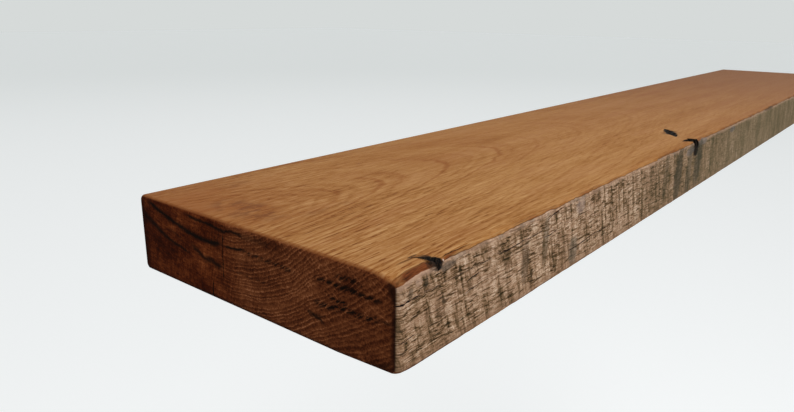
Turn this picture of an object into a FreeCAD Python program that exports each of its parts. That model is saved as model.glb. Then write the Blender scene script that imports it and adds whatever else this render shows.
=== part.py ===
"""Floating wall shelf: one thick oak slab that slides onto steel rods standing out of a hidden wall bar.

Frame, in millimetres: X runs along the shelf, Y points into the wall, Z is up.  The origin is on the wall
plane (Y = 0), half way along the shelf and half way up its thickness.  The free end of the shelf is at -X.
"""

import FreeCAD
import Part

import math
import os
from collections import namedtuple

Vector = FreeCAD.Vector
ALONG_Y = Vector(0, 1, 0)
ALONG_Z = Vector(0, 0, 1)

# Slab
shelf_length = 1400.0
shelf_depth = 214.0
shelf_thickness = 50.0
front_corner_radius = 4.0  # of the two upright edges at the front
wall_corner_radius = 1.5  # of the two upright edges at the wall
top_arris_radius = 2.5  # eased edge round the top face
bottom_arris_radius = 2.5  # eased edge round the underside

# Wall bar, let into a groove routed in the back of the slab
bar_end_inset = 50.0  # from each end of the shelf to the bar
bar_height = 32.0
bar_thickness = 6.0
bar_corner_radius = 6.0
groove_clearance = 1.0  # all round the bar, and in front of it

# Support rods, welded into the bar
rod_radius = 6.35
rod_reach = 150.0  # from the front of the bar to the tip
rod_tip_chamfer = 1.5
weld_bevel = 2.5  # depth of the weld groove round the rod's tail, and its width on each side
rod_bore_clearance = 0.4  # radial gap between rod and slab
rod_bore_spare_depth = 4.0
drill_point_angle = 118.0

# Wall screws, two into each stud
stud_spacing = 406.4
stud_edge_distance = 28.0  # least distance from a stud's centre to the end of the bar
screw_pair_spacing = 22.0
rod_offset_from_stud = 45.0
screw_head_radius = 6.25
screw_collar_radius = 3.4
screw_thread_radius = 3.15
screw_thread_length = 60.0
screw_point_length = 9.0
screw_point_radius = 0.3
screw_hole_clearance = 0.2
drive_depth = 3.0
drive_core_radius = 2.0
drive_lobe_radius = 0.75
drive_lobe_count = 6

# Lock screws, driven up from the underside against the two outer rods
lock_distance_from_wall = 92.0
insert_outer_radius = 5.0
insert_length = 13.0
insert_recess = 1.0  # below the underside of the slab
insert_chamfer = 0.8
lock_screw_radius = 2.9
lock_screw_length = 14.0
lock_screw_chamfer = 0.7
lock_screw_fit = 0.1  # radial gap in the insert's thread, and the gap under the rod
lock_hole_clearance = 0.4
lock_socket_across_flats = 3.0
lock_socket_depth = 4.0

# Tracks that old nails left just under the planed top.  Each runs level from its mouth, which is placed from
# the free end and from the front edge.  Heading is in degrees, from the shelf's length towards the wall.
NailTrack = namedtuple("NailTrack", "from_free_end from_front heading length radius centre_depth")
nail_tracks = (
    NailTrack(from_free_end=31.0, from_front=-1.0, heading=78.0, length=12.0, radius=3.2, centre_depth=2.2),
    NailTrack(from_free_end=446.0, from_front=-1.0, heading=62.0, length=13.0, radius=3.6, centre_depth=2.4),
    NailTrack(from_free_end=468.0, from_front=28.0, heading=45.0, length=22.0, radius=2.6, centre_depth=0.8),
)

# Drying checks in the free end, their ends measured down from the top face
EndCheck = namedtuple("EndCheck", "from_wall top_depth bottom_depth width depth")
end_checks = (
    EndCheck(from_wall=84.0, top_depth=6.0, bottom_depth=36.0, width=0.7, depth=9.0),
    EndCheck(from_wall=73.0, top_depth=39.0, bottom_depth=shelf_thickness, width=0.6, depth=7.0),
)


def box(low, high):
    """A box from its lowest to its highest corner."""
    size = high - low
    return Part.makeBox(size.x, size.y, size.z, low)


def rod_between(start, end, radius):
    """A round bar from one point to another."""
    axis = end - start
    return Part.makeCylinder(radius, axis.Length, start, axis)


def turned(profile, centre, axis):
    """Revolves (distance along axis, radius) points about an axis through centre."""
    outline = [Vector(radius, 0, along) for along, radius in profile]
    face = Part.Face(Part.makePolygon(outline + outline[:1]))
    solid = face.revolve(Vector(0, 0, 0), ALONG_Z, 360)
    solid.Placement = FreeCAD.Placement(centre, FreeCAD.Rotation(ALONG_Z, axis))
    return solid


def edges_along(shape, direction):
    """The straight edges parallel to a direction."""
    found = []
    for edge in shape.Edges:
        if len(edge.Vertexes) == 2:
            run = edge.Vertexes[1].Point - edge.Vertexes[0].Point
            if abs(abs(run.normalize().dot(direction)) - 1.0) < 1e-6:
                found.append(edge)
    return found


def edges_at_height(shape, height):
    """The edges that lie wholly in the level plane at a height."""
    return [e for e in shape.Edges if all(abs(v.Z - height) < 1e-6 for v in e.Vertexes)]


def stud_positions():
    """The studs that the bar covers, spaced evenly about the middle of the shelf."""
    usable = bar_length - 2 * stud_edge_distance
    count = int(usable // stud_spacing) + 1
    first = -(count - 1) * stud_spacing / 2
    return [first + i * stud_spacing for i in range(count)]


def rod_positions():
    """One rod beside each stud, on the side towards the middle of the shelf."""
    return [x - math.copysign(rod_offset_from_stud, x) for x in stud_positions()]


def screw_positions():
    """Two screws in each stud."""
    half = screw_pair_spacing / 2
    return [x + side * half for x in stud_positions() for side in (-1, 1)]


bar_length = shelf_length - 2 * bar_end_inset
bar_front = -bar_thickness
groove_floor = bar_front - groove_clearance
rod_tip = bar_front - rod_reach
screw_head_height = screw_head_radius - screw_collar_radius  # ninety-degree head
screw_hole_radius = screw_collar_radius + screw_hole_clearance
top = shelf_thickness / 2
underside = -shelf_thickness / 2
free_end = -shelf_length / 2
insert_bottom = underside + insert_recess
insert_bore_radius = lock_screw_radius + lock_screw_fit
lock_screw_top = -rod_radius - lock_screw_fit
lock_screw_bottom = lock_screw_top - lock_screw_length
locked_rods = (rod_positions()[0], rod_positions()[-1])


def slab_blank():
    """The slab before it is bored: a plank with round upright corners and eased edges."""
    low = Vector(free_end, -shelf_depth, underside)
    plank = box(low, Vector(-free_end, 0, top))
    upright = edges_along(plank, ALONG_Z)
    at_wall = [edge for edge in upright if edge.CenterOfMass.y > -shelf_depth / 2]
    plank = plank.makeFillet(wall_corner_radius, at_wall)
    at_front = [edge for edge in edges_along(plank, ALONG_Z) if edge.CenterOfMass.y < -shelf_depth / 2]
    plank = plank.makeFillet(front_corner_radius, at_front)
    plank = plank.makeFillet(top_arris_radius, edges_at_height(plank, top))
    return plank.makeFillet(bottom_arris_radius, edges_at_height(plank, underside))


def bar_groove():
    """The stopped groove in the slab's back that hides the bar, open at the wall."""
    half_length = bar_length / 2 + groove_clearance
    half_height = bar_height / 2 + groove_clearance
    groove = box(
        Vector(-half_length, groove_floor, -half_height),
        Vector(half_length, groove_clearance, half_height),
    )
    return groove.makeFillet(bar_corner_radius + groove_clearance, edges_along(groove, ALONG_Y))


def rod_bore(x):
    """The blind bore that takes one rod, with its drill point."""
    radius = rod_radius + rod_bore_clearance
    depth = rod_reach + rod_bore_spare_depth
    point = radius / math.tan(math.radians(drill_point_angle / 2))
    profile = ((0, 0), (0, radius), (depth, radius), (depth + point, 0))
    return turned(profile, Vector(x, bar_front, 0), -ALONG_Y)


def lock_hole(x):
    """The stepped hole under a rod: wide for the insert, then narrow up into the bore."""
    y = -lock_distance_from_wall
    seat_top = insert_bottom + insert_length
    seat = rod_between(Vector(x, y, underside), Vector(x, y, seat_top), insert_outer_radius)
    narrow = insert_bore_radius + lock_hole_clearance
    return seat.fuse(rod_between(Vector(x, y, underside), Vector(x, y, 0), narrow))


def nail_hollow(track):
    """The round-ended hollow of one nail track, which breaks through the top surface."""
    turn = math.radians(track.heading)
    mouth = Vector(free_end + track.from_free_end, track.from_front - shelf_depth, top - track.centre_depth)
    far = mouth + Vector(math.cos(turn), math.sin(turn), 0) * track.length
    return rod_between(mouth, far, track.radius).fuse(Part.makeSphere(track.radius, far))


def check_wedge(check):
    """The hollow of one drying check: a thin upright wedge, widest at the free end."""
    half_width = check.width / 2
    foot = top - check.bottom_depth
    outline = [
        Vector(free_end, -check.from_wall - half_width, foot),
        Vector(free_end, -check.from_wall + half_width, foot),
        Vector(free_end + check.depth, -check.from_wall, foot),
    ]
    face = Part.Face(Part.makePolygon(outline + outline[:1]))
    return face.extrude(ALONG_Z * (check.bottom_depth - check.top_depth))


def oak_slab():
    """The slab with its groove, bores, lock holes and the marks of its earlier life."""
    cuts = [bar_groove()]
    cuts += [rod_bore(x) for x in rod_positions()]
    cuts += [lock_hole(x) for x in locked_rods]
    cuts += [nail_hollow(track) for track in nail_tracks]
    cuts += [check_wedge(check) for check in end_checks]
    slab = slab_blank()
    for cut in cuts:
        slab = slab.cut(cut)
    return slab


def wall_bar():
    """The flat bar, with countersunk screw holes and a bevelled hole for each rod."""
    half_height = bar_height / 2
    bar = box(Vector(-bar_length / 2, bar_front, -half_height), Vector(bar_length / 2, 0, half_height))
    bar = bar.makeFillet(bar_corner_radius, edges_along(bar, ALONG_Y))
    head_edge = screw_head_height + screw_collar_radius - screw_hole_radius
    screw_hole = (
        (0, 0),
        (0, screw_head_radius),
        (head_edge, screw_hole_radius),
        (bar_thickness, screw_hole_radius),
        (bar_thickness, 0),
    )
    rod_hole = (
        (0, 0),
        (0, rod_radius),
        (bar_thickness - weld_bevel, rod_radius),
        (bar_thickness, rod_radius + weld_bevel),
        (bar_thickness, 0),
    )
    for x in screw_positions():
        bar = bar.cut(turned(screw_hole, Vector(x, bar_front, 0), ALONG_Y))
    for x in rod_positions():
        bar = bar.cut(turned(rod_hole, Vector(x, bar_front, 0), ALONG_Y))
    return bar


def support_rod(x):
    """One rod, from its bevelled tail in the bar to its chamfered tip."""
    length = bar_thickness + rod_reach
    profile = (
        (0, 0),
        (0, rod_radius - weld_bevel),
        (weld_bevel, rod_radius),
        (length - rod_tip_chamfer, rod_radius),
        (length, rod_radius - rod_tip_chamfer),
        (length, 0),
    )
    return turned(profile, Vector(x, 0, 0), -ALONG_Y)


def rod_weld(x):
    """The weld that fills the bevel between a rod's tail and the bar, ground flush with the back."""
    profile = ((0, rod_radius - weld_bevel), (weld_bevel, rod_radius), (0, rod_radius + weld_bevel))
    return turned(profile, Vector(x, 0, 0), -ALONG_Y)


def wall_screw(x):
    """A countersunk structural screw with a collar inside the bar and its thread beyond the wall plane."""
    head = screw_head_height
    thread_end = bar_thickness + screw_thread_length
    profile = (
        (0, 0),
        (0, screw_head_radius),
        (head, screw_collar_radius),
        (bar_thickness, screw_collar_radius),
        (bar_thickness, screw_thread_radius),
        (thread_end, screw_thread_radius),
        (thread_end + screw_point_length, screw_point_radius),
        (thread_end + screw_point_length, 0),
    )
    screw = turned(profile, Vector(x, bar_front, 0), ALONG_Y)
    floor = Vector(0, drive_depth, 0)
    socket = rod_between(Vector(x, bar_front, 0), Vector(x, bar_front, 0) + floor, drive_core_radius)
    for i in range(drive_lobe_count):
        turn = 2 * math.pi * i / drive_lobe_count
        lobe = Vector(math.cos(turn), 0, math.sin(turn)) * drive_core_radius
        start = Vector(x, bar_front, 0) + lobe
        socket = socket.fuse(rod_between(start, start + floor, drive_lobe_radius))
    return screw.cut(socket)


def threaded_insert(x):
    """The brass insert in the slab's underside that the lock screw turns in."""
    top_radius = insert_outer_radius - insert_chamfer
    profile = (
        (0, insert_bore_radius),
        (0, insert_outer_radius),
        (insert_length - insert_chamfer, insert_outer_radius),
        (insert_length, top_radius),
        (insert_length, insert_bore_radius),
    )
    return turned(profile, Vector(x, -lock_distance_from_wall, insert_bottom), ALONG_Z)


def lock_screw(x):
    """A headless screw with a hexagon socket below and a flat point just under the rod."""
    narrow = lock_screw_radius - lock_screw_chamfer
    profile = (
        (0, 0),
        (0, narrow),
        (lock_screw_chamfer, lock_screw_radius),
        (lock_screw_length - lock_screw_chamfer, lock_screw_radius),
        (lock_screw_length, narrow),
        (lock_screw_length, 0),
    )
    foot = Vector(x, -lock_distance_from_wall, lock_screw_bottom)
    screw = turned(profile, foot, ALONG_Z)
    corner = lock_socket_across_flats / math.sqrt(3)
    corners = [
        foot + Vector(math.cos(math.radians(60 * i)), math.sin(math.radians(60 * i)), 0) * corner
        for i in range(7)
    ]
    socket = Part.Face(Part.makePolygon(corners)).extrude(ALONG_Z * lock_socket_depth)
    return screw.cut(socket)


def pieces():
    """Every separate piece of the shelf, by name."""
    made = {"oak_slab": oak_slab(), "wall_bar": wall_bar()}
    for i, x in enumerate(rod_positions(), 1):
        made[f"support_rod_{i}"] = support_rod(x)
        made[f"rod_weld_{i}"] = rod_weld(x)
    for i, x in enumerate(screw_positions(), 1):
        made[f"wall_screw_{i}"] = wall_screw(x)
    for i, x in enumerate(locked_rods, 1):
        made[f"threaded_insert_{i}"] = threaded_insert(x)
        made[f"lock_screw_{i}"] = lock_screw(x)
    return made


def main():
    os.makedirs("parts", exist_ok=True)
    for name, shape in pieces().items():
        shape.exportStep(f"parts/{name}.step")
        print(f"{name}: {len(shape.Solids)} solid, {shape.Volume:.0f} mm3, valid {shape.isValid()}")


main()
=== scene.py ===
import math
from functools import cached_property
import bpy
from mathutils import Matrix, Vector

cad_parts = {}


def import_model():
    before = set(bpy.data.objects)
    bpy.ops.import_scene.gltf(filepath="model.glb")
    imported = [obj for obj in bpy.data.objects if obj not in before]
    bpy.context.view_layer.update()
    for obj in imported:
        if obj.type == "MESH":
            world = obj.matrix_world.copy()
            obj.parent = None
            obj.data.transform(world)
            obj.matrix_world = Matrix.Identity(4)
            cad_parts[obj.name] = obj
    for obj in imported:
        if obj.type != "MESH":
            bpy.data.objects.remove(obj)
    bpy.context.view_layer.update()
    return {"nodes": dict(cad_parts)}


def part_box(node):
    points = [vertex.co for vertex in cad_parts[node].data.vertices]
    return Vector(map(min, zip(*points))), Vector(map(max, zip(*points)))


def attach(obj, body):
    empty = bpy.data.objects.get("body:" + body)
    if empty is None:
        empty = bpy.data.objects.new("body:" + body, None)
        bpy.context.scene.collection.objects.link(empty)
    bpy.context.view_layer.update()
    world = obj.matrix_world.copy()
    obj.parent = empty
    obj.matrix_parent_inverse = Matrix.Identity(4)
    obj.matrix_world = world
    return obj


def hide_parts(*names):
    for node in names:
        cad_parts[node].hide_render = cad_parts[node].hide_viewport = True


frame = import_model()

from types import SimpleNamespace

import bmesh
import bpy
import numpy as np
from mathutils import Matrix, Vector

mm = 0.001
print("frame loaded:", len(frame["nodes"]), "nodes")

slabLow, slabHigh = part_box("oak_slab")
freeEnd = slabLow.x / mm          # the end that no wall touches; lengths here are in mm
farEnd = slabHigh.x / mm
slabFront = slabLow.y / mm
slabTop = slabHigh.z / mm
slabUnder = slabLow.z / mm
slabDepth = -slabFront
slabThick = slabTop - slabUnder


def boxOf(node):
    # a node's lowest and highest corners and its middle, in mm
    low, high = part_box(node)
    return np.array(low) / mm, np.array(high) / mm, np.array(low + high) / (2 * mm)


def nodesNamed(start):
    return sorted(n for n in frame["nodes"] if n.startswith(start))


def dress(piece, body, node):
    # the piece stands for one CAD node and moves with its body
    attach(piece, body)
    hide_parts(node)


def eased(t):
    t = np.clip(t, 0, 1)
    return t * t * (3 - 2 * t)


def lumps(u, v, seed):
    # random heights from -1 to 1 on whole-number corners, eased from corner to corner
    table = np.random.default_rng(seed).uniform(-1, 1, (256, 256))
    u, v = np.broadcast_arrays(np.asarray(u, float), np.asarray(v, float))
    cornerU, cornerV = np.floor(u).astype(int), np.floor(v).astype(int)
    shareU, shareV = eased(u - cornerU), eased(v - cornerV)
    a = table[cornerU % 256, cornerV % 256]
    b = table[(cornerU + 1) % 256, cornerV % 256]
    c = table[cornerU % 256, (cornerV + 1) % 256]
    d = table[(cornerU + 1) % 256, (cornerV + 1) % 256]
    return (a + (b - a) * shareU) * (1 - shareV) + (c + (d - c) * shareU) * shareV


def gridQuads(columns, rows, ring=False, tube=False):
    # quads between neighbouring columns and rows; ring joins the last row to the first, tube the last column
    i = np.arange(columns if tube else columns - 1)[:, None]
    j = np.arange(rows if ring else rows - 1)[None, :]
    nextI, nextJ = (i + 1) % columns, (j + 1) % rows
    corners = np.broadcast_arrays(i * rows + j, i * rows + nextJ, nextI * rows + nextJ, nextI * rows + j)
    return np.stack(corners, -1).reshape(-1, 4)


def spread(sides):
    # directions evenly spaced round an axis, in radians
    return np.linspace(0, 2 * math.pi, sides, endpoint=False)


creaseDegrees = 35                  # edges that fold more than this stay sharp


def makePiece(name, points, faces, materials):
    # points are in mm; the faces are turned to point outwards
    mesh = bpy.data.meshes.new(name)
    mesh.from_pydata((points * mm).tolist(), [], faces)
    edit = bmesh.new()
    edit.from_mesh(mesh)
    bmesh.ops.recalc_face_normals(edit, faces=edit.faces)
    edit.to_mesh(mesh)
    edit.free()
    mesh.shade_smooth()
    mesh.set_sharp_from_angle(angle=math.radians(creaseDegrees))
    for material in materials:
        mesh.materials.append(material)
    return placed(name, mesh)


def placed(name, data):
    made = bpy.data.objects.new(name, data)
    bpy.context.scene.collection.objects.link(made)
    return made


def skinned(name, sections, *materials):
    # faces between neighbouring closed sections, and one more to shut each end
    count, sides = sections.shape[:2]
    faces = gridQuads(count, sides, ring=True).tolist()
    faces += [list(range(sides)), list(range((count - 1) * sides, count * sides))]
    return makePiece(name, sections.reshape(-1, 3), faces, materials)


def turned(name, profile, foot, axis, material, closed=False):
    # a profile carried round an axis: row i of its two grids is one station and column j one direction round
    # the axis; closed joins the last station to the first, otherwise a fan shuts each end
    along, radius = profile
    stations, sides = along.shape
    axis = np.array(axis, float)
    across = np.cross(axis, (0, 0, 1) if abs(axis[2]) < 0.9 else (1, 0, 0))
    turn = spread(sides)[:, None]
    outward = np.cos(turn) * across + np.sin(turn) * np.cross(axis, across)
    points = np.array(foot) + along[..., None] * axis + radius[..., None] * outward
    points = points.reshape(-1, 3)
    faces = gridQuads(stations, sides, ring=True, tube=closed).tolist()
    if not closed:
        ends = [foot + axis * along[0].mean(), foot + axis * along[-1].mean()]
        points = np.concatenate((points, ends))
        last = (stations - 1) * sides
        around = np.arange(sides)
        after = (around + 1) % sides
        faces += [[stations * sides, after[j], around[j]] for j in range(sides)]
        faces += [[stations * sides + 1, last + around[j], last + after[j]] for j in range(sides)]
    return makePiece(name, points, faces, [material])


def profileOf(*parts, sides=48):
    # the two grids that turned() takes, from (distance along, radius) pairs and from pairs of finished grids;
    # a radius may differ round the axis
    along = [a if np.ndim(a) == 2 else np.full((1, sides), a, float) for a, _ in parts]
    radius = [r if np.ndim(r) == 2 else np.broadcast_to(r, (1, sides)) for _, r in parts]
    return np.concatenate(along), np.concatenate(radius)


def joined(pieces):
    # one piece from several, each keeping its material
    whole = bmesh.new()
    materials = []
    for piece in pieces:
        material = piece.data.materials[0]
        if material not in materials:
            materials.append(material)
        before = len(whole.faces)
        whole.from_mesh(piece.data)
        whole.faces.ensure_lookup_table()
        for face in whole.faces[before:]:
            face.material_index = materials.index(material)
    mesh = bpy.data.meshes.new("cutters")
    whole.to_mesh(mesh)
    whole.free()
    for material in materials:
        mesh.materials.append(material)
    for piece in pieces:
        bpy.data.objects.remove(piece)
    return placed("cutters", mesh)


sliver = 0.001 * mm                 # faces thinner than this are merged away after a cut


def carve(piece, groups, sharpDegrees):
    # cuts groups of closed cutters out of the piece, one group after another; the cuts keep the materials of
    # their cutters, and the cutters within a group stay clear of each other
    cutters = [joined(group) for group in groups]
    for cutter in cutters:
        cut = piece.modifiers.new("cut", "BOOLEAN")
        cut.operation = "DIFFERENCE"
        cut.solver = "MANIFOLD"
        cut.object = cutter
        cut.material_mode = "TRANSFER"
    bpy.context.view_layer.update()
    shaped = bpy.data.meshes.new_from_object(piece.evaluated_get(bpy.context.evaluated_depsgraph_get()))
    piece.modifiers.clear()
    piece.data = shaped
    for cutter in cutters:
        bpy.data.objects.remove(cutter)
    edit = bmesh.new()
    edit.from_mesh(shaped)
    bmesh.ops.remove_doubles(edit, verts=edit.verts, dist=sliver)
    bmesh.ops.dissolve_degenerate(edit, edges=edit.edges, dist=sliver)
    edit.to_mesh(shaped)
    edit.free()
    shaped.set_sharp_from_angle(angle=math.radians(sharpDegrees))


def colour(*screen):
    # a screen colour, 0 to 255, as the linear colour that shaders take
    def linear(c):
        c = c / 255
        return c / 12.92 if c <= 0.04045 else ((c + 0.055) / 1.055) ** 2.4
    return (*(linear(c) for c in screen), 1.0)


def ramped(*stops):
    # the stops of a colour ramp, each a place from 0 to 1 and a screen colour
    return tuple((place, colour(*screen)) for place, *screen in stops)


class Value:
    # one output in a shader; arithmetic on it adds Math nodes
    def __init__(self, shader, socket):
        self.shader = shader
        self.socket = socket

    def math(self, operation, *others):
        return self.shader.node("Math", {"operation": operation}, dict(enumerate((self, *others))))

    def __add__(self, other):
        return self.math("ADD", other)

    def __sub__(self, other):
        return self.math("SUBTRACT", other)

    def __rsub__(self, other):
        return self.shader.node("Math", {"operation": "SUBTRACT"}, {0: other, 1: self})

    def __mul__(self, other):
        return self.math("MULTIPLY", other)

    def __truediv__(self, other):
        return self.math("DIVIDE", other)

    def __pow__(self, other):
        return self.math("POWER", other)

    def __abs__(self):
        return self.math("ABSOLUTE")

    __radd__ = __add__
    __rmul__ = __mul__


class Shader:
    def __init__(self, owner):
        # owner is a new material or world
        owner.use_nodes = True
        self.owner = owner
        self.tree = owner.node_tree
        self.tree.nodes.clear()

    @cached_property
    def place(self):
        # the point in the piece's own coordinates, in mm
        return self.vector("MULTIPLY", self.node("TexCoord", {}, {}, "Object"), (1 / mm, 1 / mm, 1 / mm))

    def node(self, kind, settings, inputs, out=0):
        made = self.tree.nodes.new("ShaderNode" + kind)
        for name, value in settings.items():
            if name == "stops":
                ramp = made.color_ramp.elements
                while len(ramp) < len(value):
                    ramp.new(0.5)
                for stop, (at, shade) in zip(ramp, value):
                    stop.position = at
                    stop.color = shade
            elif name == "points":
                line = made.mapping.curves[0].points
                while len(line) < len(value):
                    line.new(0.5, 0.5)
                for point, at in zip(line, value):
                    point.location = at
                made.mapping.update()
            else:
                setattr(made, name, value)
        for key, value in inputs.items():
            if isinstance(value, Value):
                self.tree.links.new(value.socket, made.inputs[key])
            else:
                made.inputs[key].default_value = value
        return Value(self, made.outputs[out] if made.outputs else None)

    def vector(self, operation, a, b):
        return self.node("VectorMath", {"operation": operation}, {0: a, 1: b})

    def split(self, vector):
        return [self.node("SeparateXYZ", {}, {0: vector}, i) for i in range(3)]

    def join(self, x, y, z):
        return self.node("CombineXYZ", {}, {0: x, 1: y, 2: z})

    def mix(self, share, a, b, how="MIX"):
        return self.node("Mix", {"data_type": "RGBA", "blend_type": how}, {0: share, 6: a, 7: b}, 2)

    def layered(self, base, *layers):
        # each layer's share and shade, laid over the ones before it
        for share, shade in layers:
            base = self.mix(share, base, shade)
        return base

    def ramp(self, value, stops):
        return self.node("ValToRGB", {"stops": stops}, {0: value})

    def ease(self, value, low, high, start=0.0, end=1.0):
        settings = {"interpolation_type": "SMOOTHSTEP"}
        return self.node("MapRange", settings, {0: value, 1: low, 2: high, 3: start, 4: end})

    def fall(self, value, low, high):
        # 1 up to low and 0 from high on
        return 1 - self.ease(value, low, high)

    def between(self, value, low, risen, falling, high):
        # 1 from risen to falling, and 0 below low and above high
        return self.ease(value, low, risen) * self.fall(value, falling, high)

    def noise(self, vector, sizes, detail=2.0, roughness=0.5, seed=0.0):
        # sizes are how many mm one lump measures along X, Y and Z; the result lies about 0.5
        scaled = self.node(
            "VectorMath",
            {"operation": "MULTIPLY_ADD"},
            {0: vector, 1: tuple(1 / size for size in sizes), 2: (seed, seed * 1.7, seed * 2.3)},
        )
        inputs = {"Vector": scaled, "Scale": 1.0, "Detail": detail, "Roughness": roughness}
        return self.node("TexNoise", {}, inputs)

    def noises(self, vector, table):
        # named noises on one vector, from rows of (sizes, detail, roughness, seed); two more numbers in a row
        # are eased to 0 and 1, and the other noises lie about 0
        made = {}
        for name, (sizes, detail, roughness, seed, *kept) in table.items():
            raw = self.noise(vector, sizes, detail, roughness, seed)
            made[name] = self.ease(raw, *kept) if kept else raw - 0.5
        return SimpleNamespace(**made)

    def away(self, place, middle, reach):
        # squared distance from middle, counted in reaches
        counted = self.vector("DIVIDE", self.vector("SUBTRACT", place, middle), reach)
        return self.node("VectorMath", {"operation": "DOT_PRODUCT"}, {0: counted, 1: counted}, out=1)

    def random(self, whole):
        # one random number from 0 to 1 for each whole number
        return self.node("TexWhiteNoise", {"noise_dimensions": "1D"}, {"W": whole})

    def attribute(self, name):
        return self.node("Attribute", {"attribute_name": name}, {}, out=2)

    def finish(self, base, rough, metal=0.0, bump=None, bumpHeight=0.1, specular=0.5, **glow):
        # bump is a height from 0 to 1, and bumpHeight the same in mm
        inputs = {"Base Color": base, "Roughness": rough, "Metallic": metal, "Specular IOR Level": specular}
        inputs |= glow
        if bump is not None:
            heights = {"Height": bump, "Distance": bumpHeight * mm, "Strength": 1.0}
            inputs["Normal"] = self.node("Bump", {}, heights)
        surface = self.node("BsdfPrincipled", {}, inputs)
        self.node("OutputMaterial", {}, {0: surface})
        return self.owner


def materialShader(name):
    return Shader(bpy.data.materials.new(name))


oak = {
    "pithFromWall": 86.5,       # the tree's middle lies above the plank, this far from the wall
    "pithHeight": 72.5,         # above the top at the free end
    "pithRise": 0.098,          # and this much higher for each mm along the plank
    "wallSideFlat": 0.70,       # the rings are this much flatter on the wall side
    "frontSideFlat": 0.31,      # and this share is taken from their climb beyond frontFlatFrom
    "frontFlatFrom": 70.0,
    "ringWidth": 2.25,
    "raySpacing": 2.1,          # this far from the pith:
    "rayRadius": 112,
    "beadLength": 5.5,          # of the beads in which a broken streak shows
    "narrowing": (1.45, 0.55),  # how wide a narrowing streak is at its start and at its end
    "planed": ramped(           # from the darkest pores to the lightest wood between them
        (0, 104, 54, 22), (0.25, 136, 84, 40), (0.5, 163, 112, 62), (0.75, 182, 134, 84), (1, 200, 154, 104)
    ),
    "planedRed": colour(142, 82, 42),
    # painted shade where the light falls off towards the far end, with a painted greyish sheen of the finish
    # seen at a low angle
    "planedFarShadeAndSheen": colour(142, 98, 70),
    "endBleed": colour(118, 64, 32),
    "smudge": colour(104, 58, 34),
    "pooled": colour(118, 64, 34),
    # the dark edge of the pooled finish, and also the colour of a painted shadow line along the front arris
    "pooledDarkAndShadeLine": colour(46, 22, 12),
    "endGrain": ramped(
        (0, 22, 9, 4), (0.3, 72, 31, 13), (0.5, 104, 54, 28), (0.7, 132, 76, 44), (1, 174, 112, 76)
    ),
    # the free end is darker and redder towards the wall: partly the wood's own colour, partly painted shade
    # from the wall the plank meets
    "endWallColourAndShade": colour(68, 22, 3),
    "endWallTintAndShade": colour(244, 208, 166),
    "endCorner": colour(36, 15, 8),
    "endCornerLine": colour(10, 4, 3),
    "streak": colour(14, 8, 5),
    "sawn": ramped(             # from the bottoms of the saw marks to the raised fibres
        (0, 40, 28, 16), (0.25, 94, 70, 47), (0.5, 145, 111, 82), (0.75, 186, 151, 122), (1, 230, 202, 176)
    ),
    "sawnFar": colour(119, 109, 84),
    "sawnGreen": colour(74, 70, 48),
    "sawnPink": colour(176, 134, 108),
    "sawnRim": colour(186, 150, 126),
    "sawnRimGrey": colour(126, 112, 98),
    "sawLean": math.tan(math.radians(18)),      # the saw marks lean towards the free end at the top
}


# Noises in the oak: mm per lump along X, Y and Z, detail, roughness and seed, and for some a range that is
# eased from 0 to 1
grain = {
    "rings": {
        "slow": ((170, 46, 46), 2, 0.5, 3.1),
        "quick": ((34, 10, 10), 2, 0.5, 8.7),
        "fine": ((14, 3.4, 2.6), 2, 0.6, 3.3),
    },
    "planed": {
        "pores": ((6, 0.45, 0.45), 1, 0.5, 4.2, 0.56, 0.68),
        "broad": ((220, 20, 20), 2, 0.5, 9.9),
        "cloud": ((60, 30, 30), 3, 0.5, 7.3),
        "farStreak": ((260, 22, 22), 2, 0.6, 6.7, 0.46, 0.60),
        "smudge": ((15, 8, 8), 3, 0.65, 3.9, 0.42, 0.60),
    },
    "planedAlong": {
        "dashes": ((10, 0.9, 0.9), 2, 0.65, 6.4, 0.53, 0.64),
        "longLines": ((60, 1.6, 1.6), 3, 0.7, 2.6),
        "fibre": ((13, 1.0, 1.0), 3, 0.75, 4.2),
        "coarse": ((24, 2.2, 2.2), 3, 0.7, 8.8),
    },
    "end": {
        "pores": ((9, 0.8, 0.7), 2, 0.6, 4.9, 0.52, 0.66),
        "blotch": ((30, 22, 12), 3, 0.6, 5.1),
        "patch": ((30, 12, 8), 2, 0.6, 6.6, 0.38, 0.60),
        "rayPatch": ((30, 9, 14), 2, 0.6, 7.1, 0.40, 0.58),
        "beads": ((9, 1.1, 0.9), 2, 0.6, 2.9, 0.38, 0.60),
    },
    "sawnLeaning": {
        "wash": ((20, 1, 90), 2, 0.6, 3.6),
        "band": ((5, 1, 22), 3, 0.7, 2.2),
        "narrow": ((1.2, 1, 12), 2, 0.6, 6.1),
        "broken": ((2, 1, 5), 2, 0.6, 9.2, 0.38, 0.54),
    },
    "sawnAlong": {
        "crumbs": ((2.6, 1, 0.8), 3, 0.75, 4.4),
        "fibres": ((11, 1, 0.7), 3, 0.7, 5.7),
        "tint": ((22, 1, 10), 3, 0.6, 7.9),
        "crack": ((30, 1, 2.6), 2, 0.5, 8.2),
        "crackShare": ((9, 1, 2.2), 2, 0.6, 1.8, 0.46, 0.56),
        "pale": ((9, 1, 0.9), 2, 0.6, 8.2, 0.53, 0.64),
        "greyPatch": ((14, 1, 5), 2, 0.6, 1.6, 0.54, 0.64),
    },
}


# The arches on the top: distance from the pith, half width and darkness
topArches = (
    (81.1, 0.45, 0.5), (85.2, 0.55, 1.0), (87.4, 0.4, 0.45), (93.0, 0.55, 1.0), (96.2, 0.4, 0.4),
    (100.4, 0.6, 0.8), (106.5, 0.5, 0.4), (115.3, 0.7, 0.4), (128.4, 0.8, 0.25),
)


# Smudges on the top: distance from the free end and from the wall of the middle, reach each way and strength
topSmudges = (
    ((24, 78, 0), (16, 30, 1), 0.6),
    ((54, 25, 0), (16, 8, 1), 0.3),
    ((60, 112, 0), (26, 5, 1), 0.3),
)

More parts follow.
